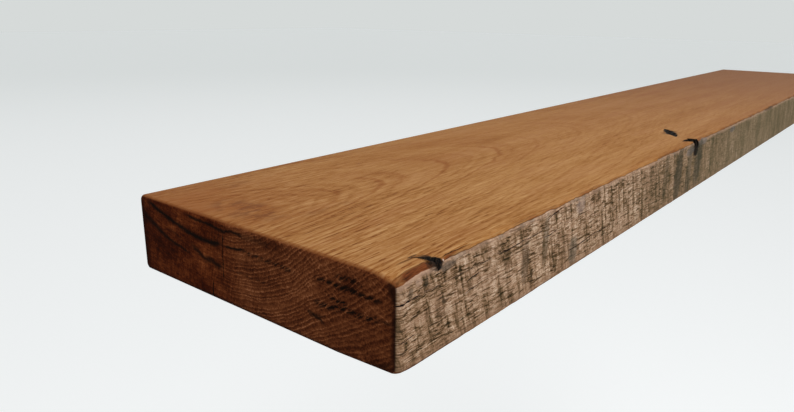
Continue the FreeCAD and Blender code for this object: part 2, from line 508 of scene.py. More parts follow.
# Dark mineral streaks in the free end: a line of (distance from the wall, height above the underside), half
# width and darkness; a broken one comes in beads, cut by the pale lines between the rings
endStreaks = (
    (((50, 47.4), (62, 45.9), (74, 45.7), (86, 44.3), (94, 45.6), (104, 44.8)), 1.1, 0.9),
    (((100, 44.8), (112, 45.2), (126, 44.9)), 1.8, 0.4),
    (((9, 47.6), (20, 44.0), (41, 38.5), (60, 35.4), (71, 34.8), (84, 36.2)), 2.0, 0.95),
    (((60, 34.8), (72, 33.9), (80, 34.4)), 1.2, 0.5),
    (((85, 35.4), (96, 36.3), (104, 37.0)), 1.0, 0.95),
    (((102, 36.8), (112, 36.2), (130, 35.9), (145, 35.6)), 1.4, 0.85, "broken"),
    (((159, 35.8), (168, 36.6), (180, 36.3), (204, 36.2)), 1.7, 0.95, "broken"),
    (((176, 37.0), (182, 37.2), (189, 37.0)), 1.5, 0.7),
    (((174, 41.2), (182, 42.0), (191, 40.9)), 1.8, 0.9, "broken"),
    (((1, 38.4), (9, 35.7), (20, 31.0), (29, 27.4), (44, 24.4), (52, 23.0)), 2.0, 0.85, "narrows"),
    (((30, 34.0), (38, 32.1), (46, 28.4)), 1.1, 0.5),
    (((54, 28.8), (62, 25.6), (68, 23.2), (73, 23.9), (78, 22.2), (84, 21.9)), 2.3, 0.85),
    (((88, 22.4), (100, 22.6), (112, 22.4), (124, 23.4)), 0.8, 0.45, "broken"),
    (((168, 28.9), (176, 28.6), (183, 28.3)), 1.2, 0.95, "broken"),
    (((157, 23.4), (170, 23.9), (182, 25.5), (190, 25.2), (203, 26.4)), 1.9, 0.95, "broken"),
    (((203, 26.7), (211, 26.9)), 1.2, 0.8),
    (((153, 17.4), (158, 15.8), (163, 14.6), (167, 12.2)), 1.4, 0.9),
    (((158, 17.0), (162, 16.6), (167, 16.8)), 0.9, 0.7),
    (((195, 0.6), (203, 2.6), (210, 6.0)), 2.4, 0.6),
)

# Lighter and darker places in the free end: distance from the wall and height above the underside of the
# middle, the reach each way, and how much lighter
endPatches = (
    ((38, 44, 0), (27, 6, 1), 0.16), ((68, 30, 0), (17, 6, 1), 0.14), ((32, 37, 0), (18, 4, 1), 0.06),
    # the last patch on the next line, a dark strip 2 mm from the wall, is partly painted shade from the wall
    ((19, 20, 0), (7, 7, 1), -0.16), ((8, 42, 0), (10, 7, 1), -0.14), ((2, 24, 0), (4.5, 30, 1), -0.30),
    ((35, 8, 0), (22, 7, 1), 0.06), ((70, 10, 0), (18, 11, 1), 0.08), ((100, 17, 0), (12, 8, 1), 0.08),
    ((128, 46, 0), (15, 4, 1), -0.12), ((122, 4, 0), (24, 4, 1), -0.08), ((183, 40, 0), (10, 5, 1), -0.16),
    ((201, 4, 0), (9, 5, 1), -0.18),
)

# Stains round the old nails, and as the last entry one painted highlight: (distance from the free end,
# distance from the wall, depth below the top) of the middle, the reach each way, the colour and the strength
nailStainsAndGlint = (
    ((30.5, 211, 1.5), (4.5, 7.0, 3.8), (14, 12, 12), 0.95),
    ((39.0, 214, 4.6), (7.0, 2.0, 2.6), (96, 84, 74), 0.7),
    ((22.0, 201.4, 0), (9.0, 0.8, 1.5), (70, 38, 20), 0.6),
    ((27.0, 200.0, 0), (4.0, 0.8, 1.5), (52, 34, 24), 0.8),
    ((30.0, 205.4, 0), (3.6, 4.0, 1.5), (40, 28, 20), 0.8),
    ((26.0, 212.5, 0.6), (3.0, 3.0, 3.0), (52, 38, 28), 0.7),
    ((9.5, 214, 9.5), (2.2, 2.0, 3.4), (60, 56, 46), 0.5),
    ((21.5, 214, 7.5), (1.3, 2.0, 3.6), (64, 60, 50), 0.5),
    ((15.5, 214, 6.0), (3.0, 2.0, 2.4), (190, 156, 134), 0.6),
    ((449, 214, 6.5), (9.5, 3.0, 10.0), (14, 13, 15), 0.95),
    ((446, 209, 0.5), (9.0, 5.0, 2.0), (18, 14, 13), 0.9),
    ((470, 214, 3.6), (15.0, 3.0, 4.0), (120, 114, 110), 0.6),
    ((431, 214, 8.0), (13.0, 3.0, 4.5), (120, 114, 112), 0.6),
    ((475, 179.5, 0), (14.0, 7.0, 2.0), (60, 34, 20), 0.5),
    ((584, 214, 6.0), (12.0, 3.0, 3.5), (86, 88, 92), 0.6),
    ((770, 214, 1.5), (30.0, 2.6, 2.6), (48, 42, 36), 0.6),
    ((402, 214, 26), (11.0, 3.0, 30.0), (58, 58, 48), 0.65),
    ((434, 214, 26), (9.0, 3.0, 30.0), (70, 68, 56), 0.5),
    ((462, 214, 22), (12.0, 3.0, 26.0), (62, 62, 52), 0.65),
    ((366, 214, 20), (6.0, 3.0, 24.0), (66, 62, 46), 0.45),
    ((118, 214, 26), (5.0, 3.0, 14.0), (88, 74, 60), 0.5),
    ((143, 214, 20), (4.0, 3.0, 18.0), (70, 62, 44), 0.5),
    ((185, 214, 38), (7.0, 3.0, 12.0), (92, 86, 74), 0.55),
    ((191, 214, 8), (7.0, 3.0, 6.0), (170, 146, 134), 0.5),
    # a painted highlight: the glint on the torn lip of the first nail's hollow
    ((36.0, 213.6, 0.3), (1.2, 1.5, 1.6), (240, 222, 214), 1.0),
)


def ringParts(s):
    # the growth rings: distance from a pith line above the plank, bent by slow noise
    x, y, z = s.split(s.place)
    n = s.noises(s.place, grain["rings"])
    fromFree = x - freeEnd
    pith = oak["pithFromWall"]
    fromPith = y + pith + n.slow * 12
    wallSide = s.ease(y, -pith - 4, -pith + 4)
    beyond = (fromPith * -1 - oak["frontFlatFrom"]).math("MAXIMUM", 0.0)
    side = fromPith * (1 - wallSide * (1 - oak["wallSideFlat"])) + beyond * oak["frontSideFlat"]
    height = fromFree * oak["pithRise"] - z + (slabTop + oak["pithHeight"])
    smooth = (side * side + height * height) ** 0.5
    radius = smooth + n.quick * 2.6 + n.fine * 1.3
    uneven = s.noise(s.join(radius, 0.0, 0.0), (9, 9, 9), 1.0, seed=5.5) - 0.5
    turns = (radius + uneven * 8) / oak["ringWidth"]
    phase = turns.math("FRACT")
    early = s.between(phase, 0.0, 0.12, 0.2, 0.75)
    line = s.between(phase, 0.70, 0.86, 0.92, 1.0)
    bold = s.random(turns.math("FLOOR"))
    angle = side.math("ARCTAN2", height)
    ring = SimpleNamespace(x=x, y=y, z=z, fromFree=fromFree, radius=radius, smooth=smooth, angle=angle)
    ring.early, ring.line, ring.bold = early, line, bold
    return ring


def planedWood(s, ring):
    # colour and height of the planed and oiled faces
    y, fromFree, early = ring.y, ring.fromFree, ring.early
    waver = s.noise(s.place, (60, 20, 20), 1.0, seed=2.8) * 3
    n = s.noises(s.place, grain["planed"])
    a = s.noises(s.join(ring.x, y + waver, ring.z), grain["planedAlong"])
    sweep = s.noise(s.join(ring.radius, fromFree * 0.03, 0.0), (5.5, 5.5, 5.5), 2.0, seed=4.8) - 0.5
    frontHalf = s.fall(y + n.cloud * 80, -165, -85)
    distance = s.ease(fromFree, 250, 900)
    byEnd = s.fall(fromFree + n.cloud * 60, 8, 110)
    wallward = s.ease(y, -150, -60)
    soft = s.ease(fromFree, 30, 280)
    lines = (0.45 + frontHalf * 0.20 + byEnd * 0.45) * (1 - soft * 0.6 - distance * 0.35)
    bands = s.ease(sweep, 0.02, 0.16) * (0.45 - frontHalf * 0.20) * (1 - distance * 0.6)
    arches = 0.0
    stray = ring.smooth + (s.noise(s.place, (26, 7, 7), 2.0, 0.6, seed=5.9) * 2.0 - 1.0)
    for radius, half, share in topArches:
        arches = s.fall(abs(stray - radius), 0.05, half) * share + arches
    arches = arches * (1 - s.ease(y, -88, -62) * 0.75)
    tone = (
        0.64 + frontHalf * byEnd * 0.08 - s.ease(fromFree, 150, 420) * 0.035
        + a.longLines * (0.85 + frontHalf * 0.15) * (1 - soft * 0.3)
        + a.fibre * 1.4 * (1 - soft * (0.65 + wallward * 0.25))
        + a.coarse * (0.9 - frontHalf * 0.6) * (1 - soft * (0.3 + wallward * 0.3))
        + n.broad * (0.35 + soft * 0.25) + n.cloud * 0.36 - bands * 0.12 - arches * 0.16
        - early * (0.04 + ring.bold * 0.24) * lines
        - a.dashes * (0.12 + early * 0.34) * lines - n.pores * (0.05 + early * 0.12)
    )
    # towards the wall the top is redder and darker: mostly the wood's own colour, partly painted shade from
    # the wall
    red = s.ease(n.cloud + n.broad, -0.02, 0.16) * 0.25 + bands * 0.45 + wallward * 0.20 + arches * 0.45
    red = red + byEnd * (0.15 + wallward * 0.40) + n.farStreak * distance * 0.45
    base = s.ramp(tone, oak["planed"])
    base = s.mix(red, base, s.mix(0.75, base, oak["planedRed"]))
    # darker and greyer towards the far end: painted shade of the falling light, and painted sheen of the
    # finish at a low angle
    base = s.mix(s.ease(fromFree, 250, 1300) * 0.85, base, oak["planedFarShadeAndSheen"])
    onTop = s.join(fromFree, y * -1, 0.0)
    for middle, reach, share in topSmudges:
        near = s.fall(s.away(onTop, middle, reach), 0.1, 1.4)
        base = s.mix(n.smudge * near * share, base, oak["smudge"])
    base = s.mix(s.fall(fromFree + n.cloud * 3, 0.6, 3.4) * 0.75, base, oak["endBleed"])
    height = 0.6 - n.pores * 0.4 - early * a.dashes * 0.25 + a.fibre * 0.3
    return base, height, n.pores


def streakMask(s, ring, ragged, chain, line, half, strength, kind=None):
    # near to one streak's line, between its ends, and only in beads where it is broken
    points = [(d / slabDepth, h / slabThick) for d, h in line]
    share = ring.y * (-1 / slabDepth)
    middle = s.node("FloatCurve", {"points": points}, {"Factor": 1.0, "Value": share}) * slabThick
    first, last = line[0][0], line[-1][0]
    fromWall = ring.y * -1 + (ragged - 0.5) * 10
    offset = abs(ring.z - slabUnder - middle + (ragged - 0.5) * 3) / (ragged + 0.5)
    if kind == "narrows":
        offset = offset / s.ease(fromWall, first, last, *oak["narrowing"])
    near = s.fall(offset, half * 0.1, half * 1.5)
    near = near * s.ease(fromWall, first - 2, first + 5) * s.fall(fromWall, last - 4, last + 2)
    if kind == "broken":
        near = near * chain
    return near * strength


def endWood(s, ring):
    # colour of the end grain, darker where it drank the oil, with rays fanning out from the pith
    x, y, z, early = ring.x, ring.y, ring.z, ring.early
    n = s.noises(s.place, grain["end"])
    ragged = s.noise(s.place, (9, 3.2, 2.2), 3.0, 0.6, seed=1.3)
    stray = ragged - 0.5
    wallSide = s.ease(y, -112, -66)
    rayTurn = ring.angle * (oak["rayRadius"] / oak["raySpacing"]) + stray * 0.8
    bold = s.random(rayTurn.math("FLOOR") + 0.5)
    rays = s.between(rayTurn.math("FRACT"), 0.30, 0.46, 0.54, 0.70) * (0.25 + bold * 0.75)
    rays = rays * (1 - s.ease(y, -150, -112) * 0.7) * (0.25 + n.rayPatch * 0.75)
    rays = rays * s.ease(z, slabUnder + 6, slabUnder + 34, 0.35, 1.0)
    streaky = s.noise(s.join(x, y + z * 0.25, z), (9, 1.4, 16), 3.0, 0.65, seed=8.4) - 0.5
    smear = s.noise(s.join(x, y - z * 0.4, z), (9, 9, 1.9), 3.0, 0.6, seed=6.2) - 0.5
    centred = s.ease(y, -190, -140) * (1 - wallSide)
    frontward = s.fall(y, -190, -140)
    ringShare = (0.4 + ring.bold * 0.6) * (1 - wallSide * 0.7) * (1 - frontward * 0.45)
    tone = (
        0.48 + n.blotch * (0.55 + wallSide * 0.45) + stray * (0.35 + wallSide * 0.3) + centred * 0.06
        - early * (0.08 + ring.bold * 0.09) * (1 - wallSide * 0.75)
        + ring.line * (0.03 + n.patch * 0.18 + n.beads * 0.19) * ringShare - frontward * n.blotch * 0.2
        # the wallSide * 0.10 taken off below is partly painted shade from the wall
        + (n.beads - 0.5) * 0.15 + smear * (0.35 + wallSide * 0.25) - wallSide * 0.10
        + streaky * (0.35 + wallSide * 0.25)
        + rays * (0.08 + n.patch * 0.18) - n.pores * (0.04 + early * 0.08)
    )
    onEnd = s.join(y * -1 - stray * 16, z - slabUnder, 0.0)
    for middle, reach, lighter in endPatches:
        tone = s.ease(s.away(onEnd, middle, reach), 0.0, 1.3, lighter, 0.0) + tone
    base = s.ramp(tone, oak["endGrain"])
    # darker and redder towards the wall, and darkest within 10 mm of it: partly the wood's own colour, partly
    # painted shade from the wall
    base = s.mix(wallSide * (0.25 - n.blotch * 0.5 - streaky * 0.3), base, oak["endWallColourAndShade"])
    base = s.mix(wallSide * 0.8, base, oak["endWallTintAndShade"], "MULTIPLY")
    base = s.mix(s.ease(y + n.blotch * 10, -10, -1) * 0.3, base, oak["endCorner"])
    # the beads lean like the rings, and the pale line between two rings cuts them
    beadTurn = (y * -1 - z * 1.1) / oak["beadLength"] + stray * 1.4
    chain = s.fall(abs(beadTurn.math("FRACT") - 0.5), 0.26, 0.44) * (1 - ring.line * 0.55)
    nearFree = s.fall(ring.fromFree, 3, 9)
    for streak in endStreaks:
        base = s.mix(streakMask(s, ring, ragged, chain, *streak) * nearFree, base, oak["streak"])
    high = s.ease(z, slabTop - 14, slabTop - 1)
    edge = y + stray * 2.4 - slabFront - high * 3.5
    return s.layered(
        base,
        (s.fall(edge, 2.6, 5.6) * 0.85, oak["endCorner"]),
        (s.fall(edge, 1.6, 3.2) * (1 - high) * 0.8, oak["endCornerLine"]),
        (s.fall(z, slabUnder + 0.6, slabUnder + 3.4) * 0.75, oak["endCorner"]),
    )


def sawnWood(s, ring, downFront):
    # colour and height of the rough-sawn, weathered front edge: short dark cracks and pale fibres along the
    # grain, gathered in bands where the saw dug in
    x, z, fromFree = ring.x, ring.z, ring.fromFree
    waver = s.noise(s.join(x, 0.0, z), (50, 1, 24), 2.0, seed=3.4) * 2.6
    n = s.noises(s.join(x, 0.0, z + waver), grain["sawnAlong"])
    saw = s.noises(s.join(x + z * oak["sawLean"], 0.0, z), grain["sawnLeaning"])
    far = s.ease(fromFree, 120, 800)
    crisp = 1 - s.ease(fromFree, 250, 850) * 0.6
    midway = s.between(fromFree, 90, 150, 240, 360)
    nearEnd = s.fall(fromFree, 50, 110)
    byCorner = s.fall(fromFree, 22, 30)
    marks = s.attribute("sawMark")
    band = s.ease(saw.band, 0.03, 0.15)
    lines = s.ease(saw.narrow + saw.band * 0.5, 0.08, 0.17)
    cracks = s.fall(abs(n.crack), 0.01, 0.07) * n.crackShare
    nicks = s.ease(n.crumbs * 0.9 + n.fibres * 0.8 + band * 0.08, 0.10, 0.17)
    lowSmooth = s.fall(z + waver * 0.6, slabUnder + 4, slabUnder + 9)
    rim = s.fall(downFront + saw.narrow * 3, 1.6, 4.4)
    calm = 1 - (lowSmooth * 0.45).math("MAXIMUM", rim * 0.15)
    tone = (
        0.62 + midway * 0.04 - nearEnd * 0.02 - s.ease(fromFree, 300, 420) * 0.03
        - s.ease(fromFree, 380, 430) * 0.03 + s.ease(fromFree, 540, 620) * 0.08
        - s.ease(fromFree, 770, 830) * 0.08
        + (n.crumbs * 1.5 + n.fibres * 1.7) * calm * crisp + n.tint * 0.4
        - saw.band * (0.45 + midway * 0.35 + nearEnd * 0.35) - saw.wash * (0.35 + far * 0.7)
        + saw.narrow * (0.6 + midway * 0.25) * crisp + n.pale * 0.18 * calm * crisp - band * 0.05
        - (cracks * 0.42 + nicks * 0.26) * calm * crisp - lines * (0.16 + midway * 0.06) * crisp
        - marks * saw.broken * 0.42 * crisp
    )
    pink = s.ease(n.tint, 0.0, 0.14) * 0.35 + lowSmooth * 0.35
    green = band * 0.22 + nicks * 0.15 + cracks * 0.2 + marks * saw.broken * 0.4
    green = green + s.ease(saw.wash, 0.0, 0.15) * far * 0.5
    base = s.ramp(tone, oak["sawn"])
    base = s.mix(pink, base, s.mix(0.55, base, oak["sawnPink"]))
    base = s.mix(green, base, s.mix(0.7, base, oak["sawnGreen"]))
    base = s.layered(
        base,
        (far * 0.36 + s.ease(fromFree, 200, 620) * 0.30, oak["sawnFar"]),
        (rim * (0.45 + byCorner * 0.35), oak["sawnRim"]),
        (rim * n.greyPatch * (1 - byCorner) * 0.5, oak["sawnRimGrey"]),
    )
    height = 0.5 + n.crumbs * 1.4 + n.fibres * 0.9 - cracks * 0.6 - nicks * 0.4 + n.pale * 0.2
    return base, height


def oakMaterial():
    s = materialShader("oiledOak")
    ring = ringParts(s)
    x, y, fromFree = ring.x, ring.y, ring.fromFree
    planed, planedHeight, pores = planedWood(s, ring)

    # the planed top ends in a wavy line a little way down the front, and the finish pools beside it; a thin
    # dark line along that border is painted shadow
    edgeWave = s.noise(s.join(x, 0.0, 0.0), (16, 1, 1), 3.0, 0.6, seed=3.7) - 0.5
    alongPool = s.noise(s.join(x, 0.0, 0.0), (46, 1, 1), 1.0, seed=1.1)
    stir = s.noise(s.place, (12, 1.1, 1.1), 3.0, 0.6, seed=5.3) - 0.5
    lower = s.attribute("downFront") - edgeWave * 4.2
    byCorner = s.fall(fromFree, 25, 31)
    byNail = s.between(fromFree, 35, 42, 54, 64)
    pooling = s.ease(alongPool, 0.46, 0.58) * 0.7 + 0.2 + byCorner * 0.6 + byNail * 0.5
    inner = y - (slabFront + 2.4) - edgeWave * 3.0 - byCorner * 2.4 - byNail * 1.6
    pooled = s.mix(s.ease(stir, -0.10, 0.22), oak["pooled"], oak["pooledDarkAndShadeLine"])
    planed = s.layered(
        planed,
        (s.fall(inner + stir * 5, -2.2, 1.4) * pooling * 0.80, pooled),
        (s.fall(abs(inner + stir), 0.1, 0.55) * (byNail * 0.8 + pooling * 0.3), oak["pooledDarkAndShadeLine"]),
        # painted shadow: a thin dark line along the border between the planed top and the sawn front
        (s.fall(abs(lower), 0.1, 0.7) * (0.7 - byCorner * 0.6), oak["pooledDarkAndShadeLine"]),
    )

    sawn, sawnHeight = sawnWood(s, ring, lower)
    isSawn = s.ease(lower, 0.0, 0.45) * s.fall(s.attribute("upFront") * -1, -1.2, -0.2)
    isEnd = s.ease(abs(x) + edgeWave * 0.8, farEnd - 1.0, farEnd - 0.3)
    body = s.layered(planed, (isSawn, sawn), (isEnd, endWood(s, ring)))
    tatter = (s.noise(s.place, (5, 2.2, 2.2), 3.0, 0.6, seed=2.3) - 0.5) * 1.8
    fromCorner = s.join(fromFree, y * -1, slabTop - ring.z)
    # the stains, and last a painted highlight, the glint at the first nail
    for middle, reach, shade, strength in nailStainsAndGlint:
        stainAndGlint = s.ease(s.away(fromCorner, middle, reach) + tatter, 0.45, 1.25, strength, 0.0)
        body = s.mix(stainAndGlint, body, colour(*shade))
    isSawn = isSawn * (1 - isEnd)
    rough = s.ease(pores, 0.0, 1.0, 0.62, 0.74) + isSawn * 0.22 + isEnd * 0.08
    height = planedHeight * (1 - isSawn) + sawnHeight * isSawn * 3.0
    return s.finish(body, rough, bump=height, bumpHeight=0.12, specular=0.03)


def boredOakMaterial():
    # inside the groove and the bores the wood has no oil on it
    s = materialShader("boredOak")
    fuzz = s.noise(s.place, (6, 0.7, 0.7), 3.0, 0.7, seed=2.9)
    base = s.mix(ringParts(s).early * 0.45, colour(196, 158, 112), colour(150, 108, 68))
    base = s.mix(s.ease(fuzz, 0.5, 0.75) * 0.5, base, colour(118, 82, 52))
    return s.finish(base, 0.85, bump=fuzz, bumpHeight=0.25, specular=0.2)


def blackenedOakMaterial():
    # the inside of checks and nail tracks: iron-black and dusty, with a resinous gleam on the lumps
    s = materialShader("blackenedOak")
    lump = s.noise(s.place, (2.5, 0.9, 0.9), 3.0, 0.6, seed=1.9)
    base = s.mix(s.ease(lump, 0.45, 0.70), colour(11, 8, 7), colour(56, 42, 30))
    return s.finish(base, s.ease(lump, 0.3, 0.7, 0.5, 0.85), bump=lump, bumpHeight=0.3, specular=0.1)


oiledOak = oakMaterial()
boredOak = boredOakMaterial()
blackenedOak = blackenedOakMaterial()
print("oak materials made")

slab = {
    "endRadius": 4.0,           # upright corners at the front
    "wallEndRadius": 1.5,       # and at the wall
    "topArris": 2.5,
    "underArris": 3.0,
    "underEndArris": 1.5,
    "endInset": 1.6,            # a second ring of points inside the flat of each end keeps its shading flat
    "nearColumn": 0.8,          # spacing of the mesh's columns by the free end
    "farColumn": 2.0,           # and at the far end
    "columnsWiden": (120, 700),             # how far from the free end it starts to grow, and over how much
    "frontRows": 34,
    "planedLip": 0.75,          # the planed top reaches this far down the front
    "sawnFoot": 1.0,            # and the sawn front ends this far above the underside
    "roughEdge": 2.6,           # the front's relief fades over this depth
    "leanReach": 70,            # and the lean of the mesh's columns over this one
    "leanFade": 45,             # and over this length at both ends
    "seenMarks": (12.5, 25, 37, 50, 54.5, 71.5, 87.5, 96, 117.5, 143, 148, 161, 182, 204),
    "markGap": (4.0, 15.0),     # between the saw marks further along
    "markDepth": (0.15, 0.55),
    "markWidth": (0.5, 1.3),
    "markLow": (-60, -5),       # height of each mark's lower and upper end
    "markHigh": (5, 60),
    "markFade": 8.0,            # over which a mark runs out at its ends
    "sawBow": 0.0006,           # the marks bow by this much times the square of the height above bowMiddle
    "bowMiddle": 8,
    "roughness": 0.16,
    "reliefDepth": (0.45, 1.6),             # the front's mean relief and its deepest
    "arrisReach": (2.2, 2.6),   # how far the wear of the top's front arris reaches over the front and the top
    "arrisWear": (0.75, 0.65),  # inwards and downwards
    "cornerReach": (8, 9),      # the same for the near corners, along the plank and over its depth
    "cornerWear": (2.8, 1.6),   # downwards at the top and upwards at the foot
    "sharpDegrees": 50,
    "grooveClearance": 1.0,     # round the wall bar
    "grooveCorner": 7.0,
    "boreRadius": 6.75,
    "boreSpare": 4.0,           # past the rod's tip
    "boreStart": 3.0,           # inside the groove
    "drillPointDegrees": 118,
    "lockWayRadius": 3.4,
    "outside": 1.5,             # how far a cutter stands out of the surface it cuts
    "seed": 41,
}


def slabProfile():
    # (y, z) round the plank's section: top, front, underside and back, joined by quarter-round arrises
    top, under = slab["topArris"], slab["underArris"]

    def arc(centreY, centreZ, radius, startDegrees, steps):
        turn = np.radians(startDegrees + np.linspace(0, 90, steps + 2)[1:-1])
        return np.stack((centreY + radius * np.cos(turn), centreZ + radius * np.sin(turn)), 1)

    def run(fromY, fromZ, toY, toZ, rows, bunch=1.0):
        share = (1 - (1 - np.linspace(0, 1, rows)) ** bunch)[:, None]
        return np.array((fromY, fromZ)) * (1 - share) + np.array((toY, toZ)) * share

    front, low, high = slabFront, slabUnder, slabTop
    return np.concatenate((
        run(-top, high, front + top, high, 14, 1.6),
        arc(front + top, high - top, top, 90, 6),
        run(front, high - top, front, low + under, slab["frontRows"]),
        arc(front + under, low + under, under, 180, 4),
        run(front + under, low, -under, low, 7),
        arc(-under, low + under, under, 270, 4),
        run(0, low + under, 0, high - top, 5),
        arc(-top, high - top, top, 0, 3),
    ))


def slabColumns():
    # places along the plank: close together by the free end, and round the arris at both ends
    place = np.linspace(freeEnd, farEnd, 4001)
    start, over = slab["columnsWiden"]
    wide = eased((place - freeEnd - start) / over)
    density = 1 / (slab["nearColumn"] + (slab["farColumn"] - slab["nearColumn"]) * wide)
    count = np.concatenate(([0], np.cumsum((density[1:] + density[:-1]) / 2 * np.diff(place))))
    even = np.interp(np.linspace(0, count[-1], int(count[-1])), count, place)
    radius = slab["endRadius"]
    curve = radius * (1 - np.cos(np.linspace(0, math.pi / 2, 8)))
    inner = even[(even > freeEnd + radius * 1.1) & (even < farEnd - radius * 1.1)]
    return np.concatenate((freeEnd + curve, inner, (farEnd - curve)[::-1]))


def sawMarks():
    # each mark's place, and then its depth, half width and the two heights between which it shows
    random = np.random.default_rng(slab["seed"])
    places = list(slab["seenMarks"])
    while places[-1] < farEnd - freeEnd:
        places.append(places[-1] + random.uniform(*slab["markGap"]))
    ranges = (slab[key] for key in ("markDepth", "markWidth", "markLow", "markHigh"))
    return zip(np.array(places) + freeEnd, *(random.uniform(*r, len(places)) for r in ranges))


def slabSurface():
    # the profile carried along X, drawn in at both ends on a quarter round, its front pressed in by saw marks
    profile, columns = slabProfile(), slabColumns()
    inset = np.zeros((len(columns) + 2, 1))
    inset[[0, -1]] = slab["endInset"]
    columns = np.concatenate((columns[:1], columns, columns[-1:]))
    x, y = np.meshgrid(columns, profile[:, 0], indexing="ij")
    z = np.broadcast_to(profile[:, 1], x.shape)
    fromEnd = np.minimum(x - freeEnd, farEnd - x)
    downFront = (slabTop - slab["planedLip"] - z) - (y - slabFront)
    upFront = (z - slabUnder - slab["sawnFoot"]) - (y - slabFront)

    # how far each row shares in the lean of the saw marks, and in the front's relief
    isFront = eased((slabFront + slab["roughEdge"] - y) / slab["roughEdge"])
    leaning = eased((slabFront + slab["leanReach"] - y) / slab["leanReach"])
    x = x - oak["sawLean"] * z * leaning * eased((fromEnd - slab["endRadius"]) / slab["leanFade"])

    alongSaw = x + oak["sawLean"] * z + slab["sawBow"] * (z - slab["bowMiddle"]) ** 2
    marks = np.zeros_like(x)
    relief = np.zeros_like(x)
    fade = slab["markFade"]
    for place, depth, width, low, high in sawMarks():
        shape = np.exp(-((alongSaw - place) / width) ** 2)
        shape *= eased((z - low) / fade) * eased((high - z) / fade)
        marks = np.maximum(marks, shape * (0.4 + 0.6 * depth / slab["markDepth"][1]))
        relief += shape * depth
    seed, rough = slab["seed"], slab["roughness"]
    relief += 0.14 * lumps(alongSaw / 6, z / 40, seed + 1) + 0.22 * lumps(x / 60, z / 30, seed + 2)
    relief += rough * lumps(x / 7, z / 1.3, seed + 3)
    relief += rough * lumps(x / 2.4, z / 2.6, seed + 4)
    mean, most = slab["reliefDepth"]
    relief = np.clip(relief + mean, 0, most) * isFront * eased((fromEnd - 1) / 10)

    # the arris between the top and the rough front is worn unevenly
    across, down = slab["arrisReach"]
    arris = np.exp(-((y - slabFront) / across) ** 2 - ((z - slabTop) / down) ** 2)
    wear = 0.35 + 0.45 * lumps(x / 11, x * 0, seed + 5) + 0.25 * lumps(x / 3.1, x * 0, seed + 6)
    wear += 1.2 * eased((lumps(x / 17, x * 0, seed + 7) - 0.35) / 0.4)
    wear = np.clip(wear, 0, 2.0) * arris * eased((fromEnd - 2) / 8)

    # the near corners, at the top and at the foot, are worn further
    along, across = slab["cornerReach"]
    topWear, footWear = slab["cornerWear"]
    corner = np.exp(-((x - freeEnd) / along) ** 2 - ((y - slabFront) / across) ** 2)
    up = (z - slabUnder) / slabThick
    cornerWear = corner * (topWear * up ** 2 - footWear * (1 - up) ** 4)

    # quarter round at the ends
    def drawnIn(radius):
        inside = np.clip(radius - fromEnd, 0, radius)
        return radius - np.sqrt(radius ** 2 - inside ** 2) + inset

    half = slabDepth / 2
    sideIn = np.where(y > -half, drawnIn(slab["wallEndRadius"]), drawnIn(slab["endRadius"]))
    topIn = drawnIn(slab["topArris"])
    underIn = drawnIn(slab["underEndArris"])
    wearIn, wearDown = slab["arrisWear"]
    y = -half + (y + half) * (1 - 2 * sideIn / slabDepth) + relief + wear * wearIn
    z = slabUnder + underIn + (z - slabUnder) * (1 - (topIn + underIn) / slabThick)
    z = z - wear * wearDown - cornerWear

    piece = skinned("oakSlab", np.stack((x, y, z), -1), oiledOak, boredOak, blackenedOak)
    for name, values in {"sawMark": marks * isFront, "downFront": downFront, "upFront": upFront}.items():
        layer = piece.data.attributes.new(name, "FLOAT", "POINT")
        layer.data.foreach_set("value", values.astype(np.float32).ravel())
    return piece


def rodCutter(name, start, end, radius, pointDegrees=0):
    # a drilled hole from start to end, with a drill point past the end
    start, end = np.array(start, float), np.array(end, float)
    length = np.linalg.norm(end - start)
    stations = [(0, radius), (length, radius)]
    if pointDegrees:
        point = radius / math.tan(math.radians(pointDegrees / 2))
        stations.append((length + point, 0.01))
    return turned(name, profileOf(*stations), start, (end - start) / length, boredOak)


def roundedPlate(name, low, high, corner, edges, material, steps=8):
    # a plate in the wall plane: a round-cornered outline carried from one Y to the other, where each of edges
    # is (distance from the front, inset from the outline)
    turn = np.radians(np.linspace(0, 90, steps))
    quarter = np.stack((np.cos(turn), np.sin(turn)), 1)
    spin = np.array(((0, 1), (-1, 0)))
    centres = [(high[0] - corner, high[2] - corner), (low[0] + corner, high[2] - corner)]
    centres += [(low[0] + corner, low[2] + corner), (high[0] - corner, low[2] + corner)]
    outward = [quarter @ np.linalg.matrix_power(spin, i) for i in range(4)]
    sections = []
    for fromFront, inset in edges:
        outline = np.concatenate([np.array(c) + o * (corner - inset) for c, o in zip(centres, outward)])
        sections.append(np.insert(outline, 1, low[1] + fromFront, axis=1))
    return skinned(name, np.array(sections), material)


def resampled(track, shares):
    # points at given shares between the points of a track
    return np.stack([np.interp(shares, np.arange(len(track)), column) for column in track.T], 1)


def wedgeCutter(name, path, halfWidth, depth, into, across, seed):
    # a thin wedge along a path: its mouth stands outside the surface and its tip is depth inside;
    # the width and the line wander, and both ends taper
    path = np.array(path, float)
    line = resampled(path, np.linspace(0, len(path) - 1, 24 * (len(path) - 1) + 1))
    run = np.concatenate(([0], np.cumsum(np.linalg.norm(np.diff(line, axis=0), axis=1))))
    into, across = np.array(into, float), np.array(across, float)
    taper = np.clip(np.sin(np.pi * np.clip(run / run[-1], 0.004, 0.996)) * 2.2, 0, 1)
    lumpLengths = (2.3, 3.7, 1.1, 5.0)
    uneven, slow, quick, floor = (lumps(run / a, 0 * run, seed + i) for i, a in enumerate(lumpLengths))
    width = halfWidth * taper * (0.75 + 0.45 * uneven) + 0.01
    centre = line + across * (halfWidth * (0.8 * slow + 0.4 * quick))[:, None]
    deep = depth * (0.35 + 0.65 * taper) * (0.85 + 0.15 * floor)
    mouth = centre - into * slab["outside"]
    flare = across * (width * (1 + slab["outside"] / depth))[:, None]
    sections = np.stack((mouth - flare, centre + into * deep[:, None], mouth + flare), 1)
    return skinned(name, sections, blackenedOak)


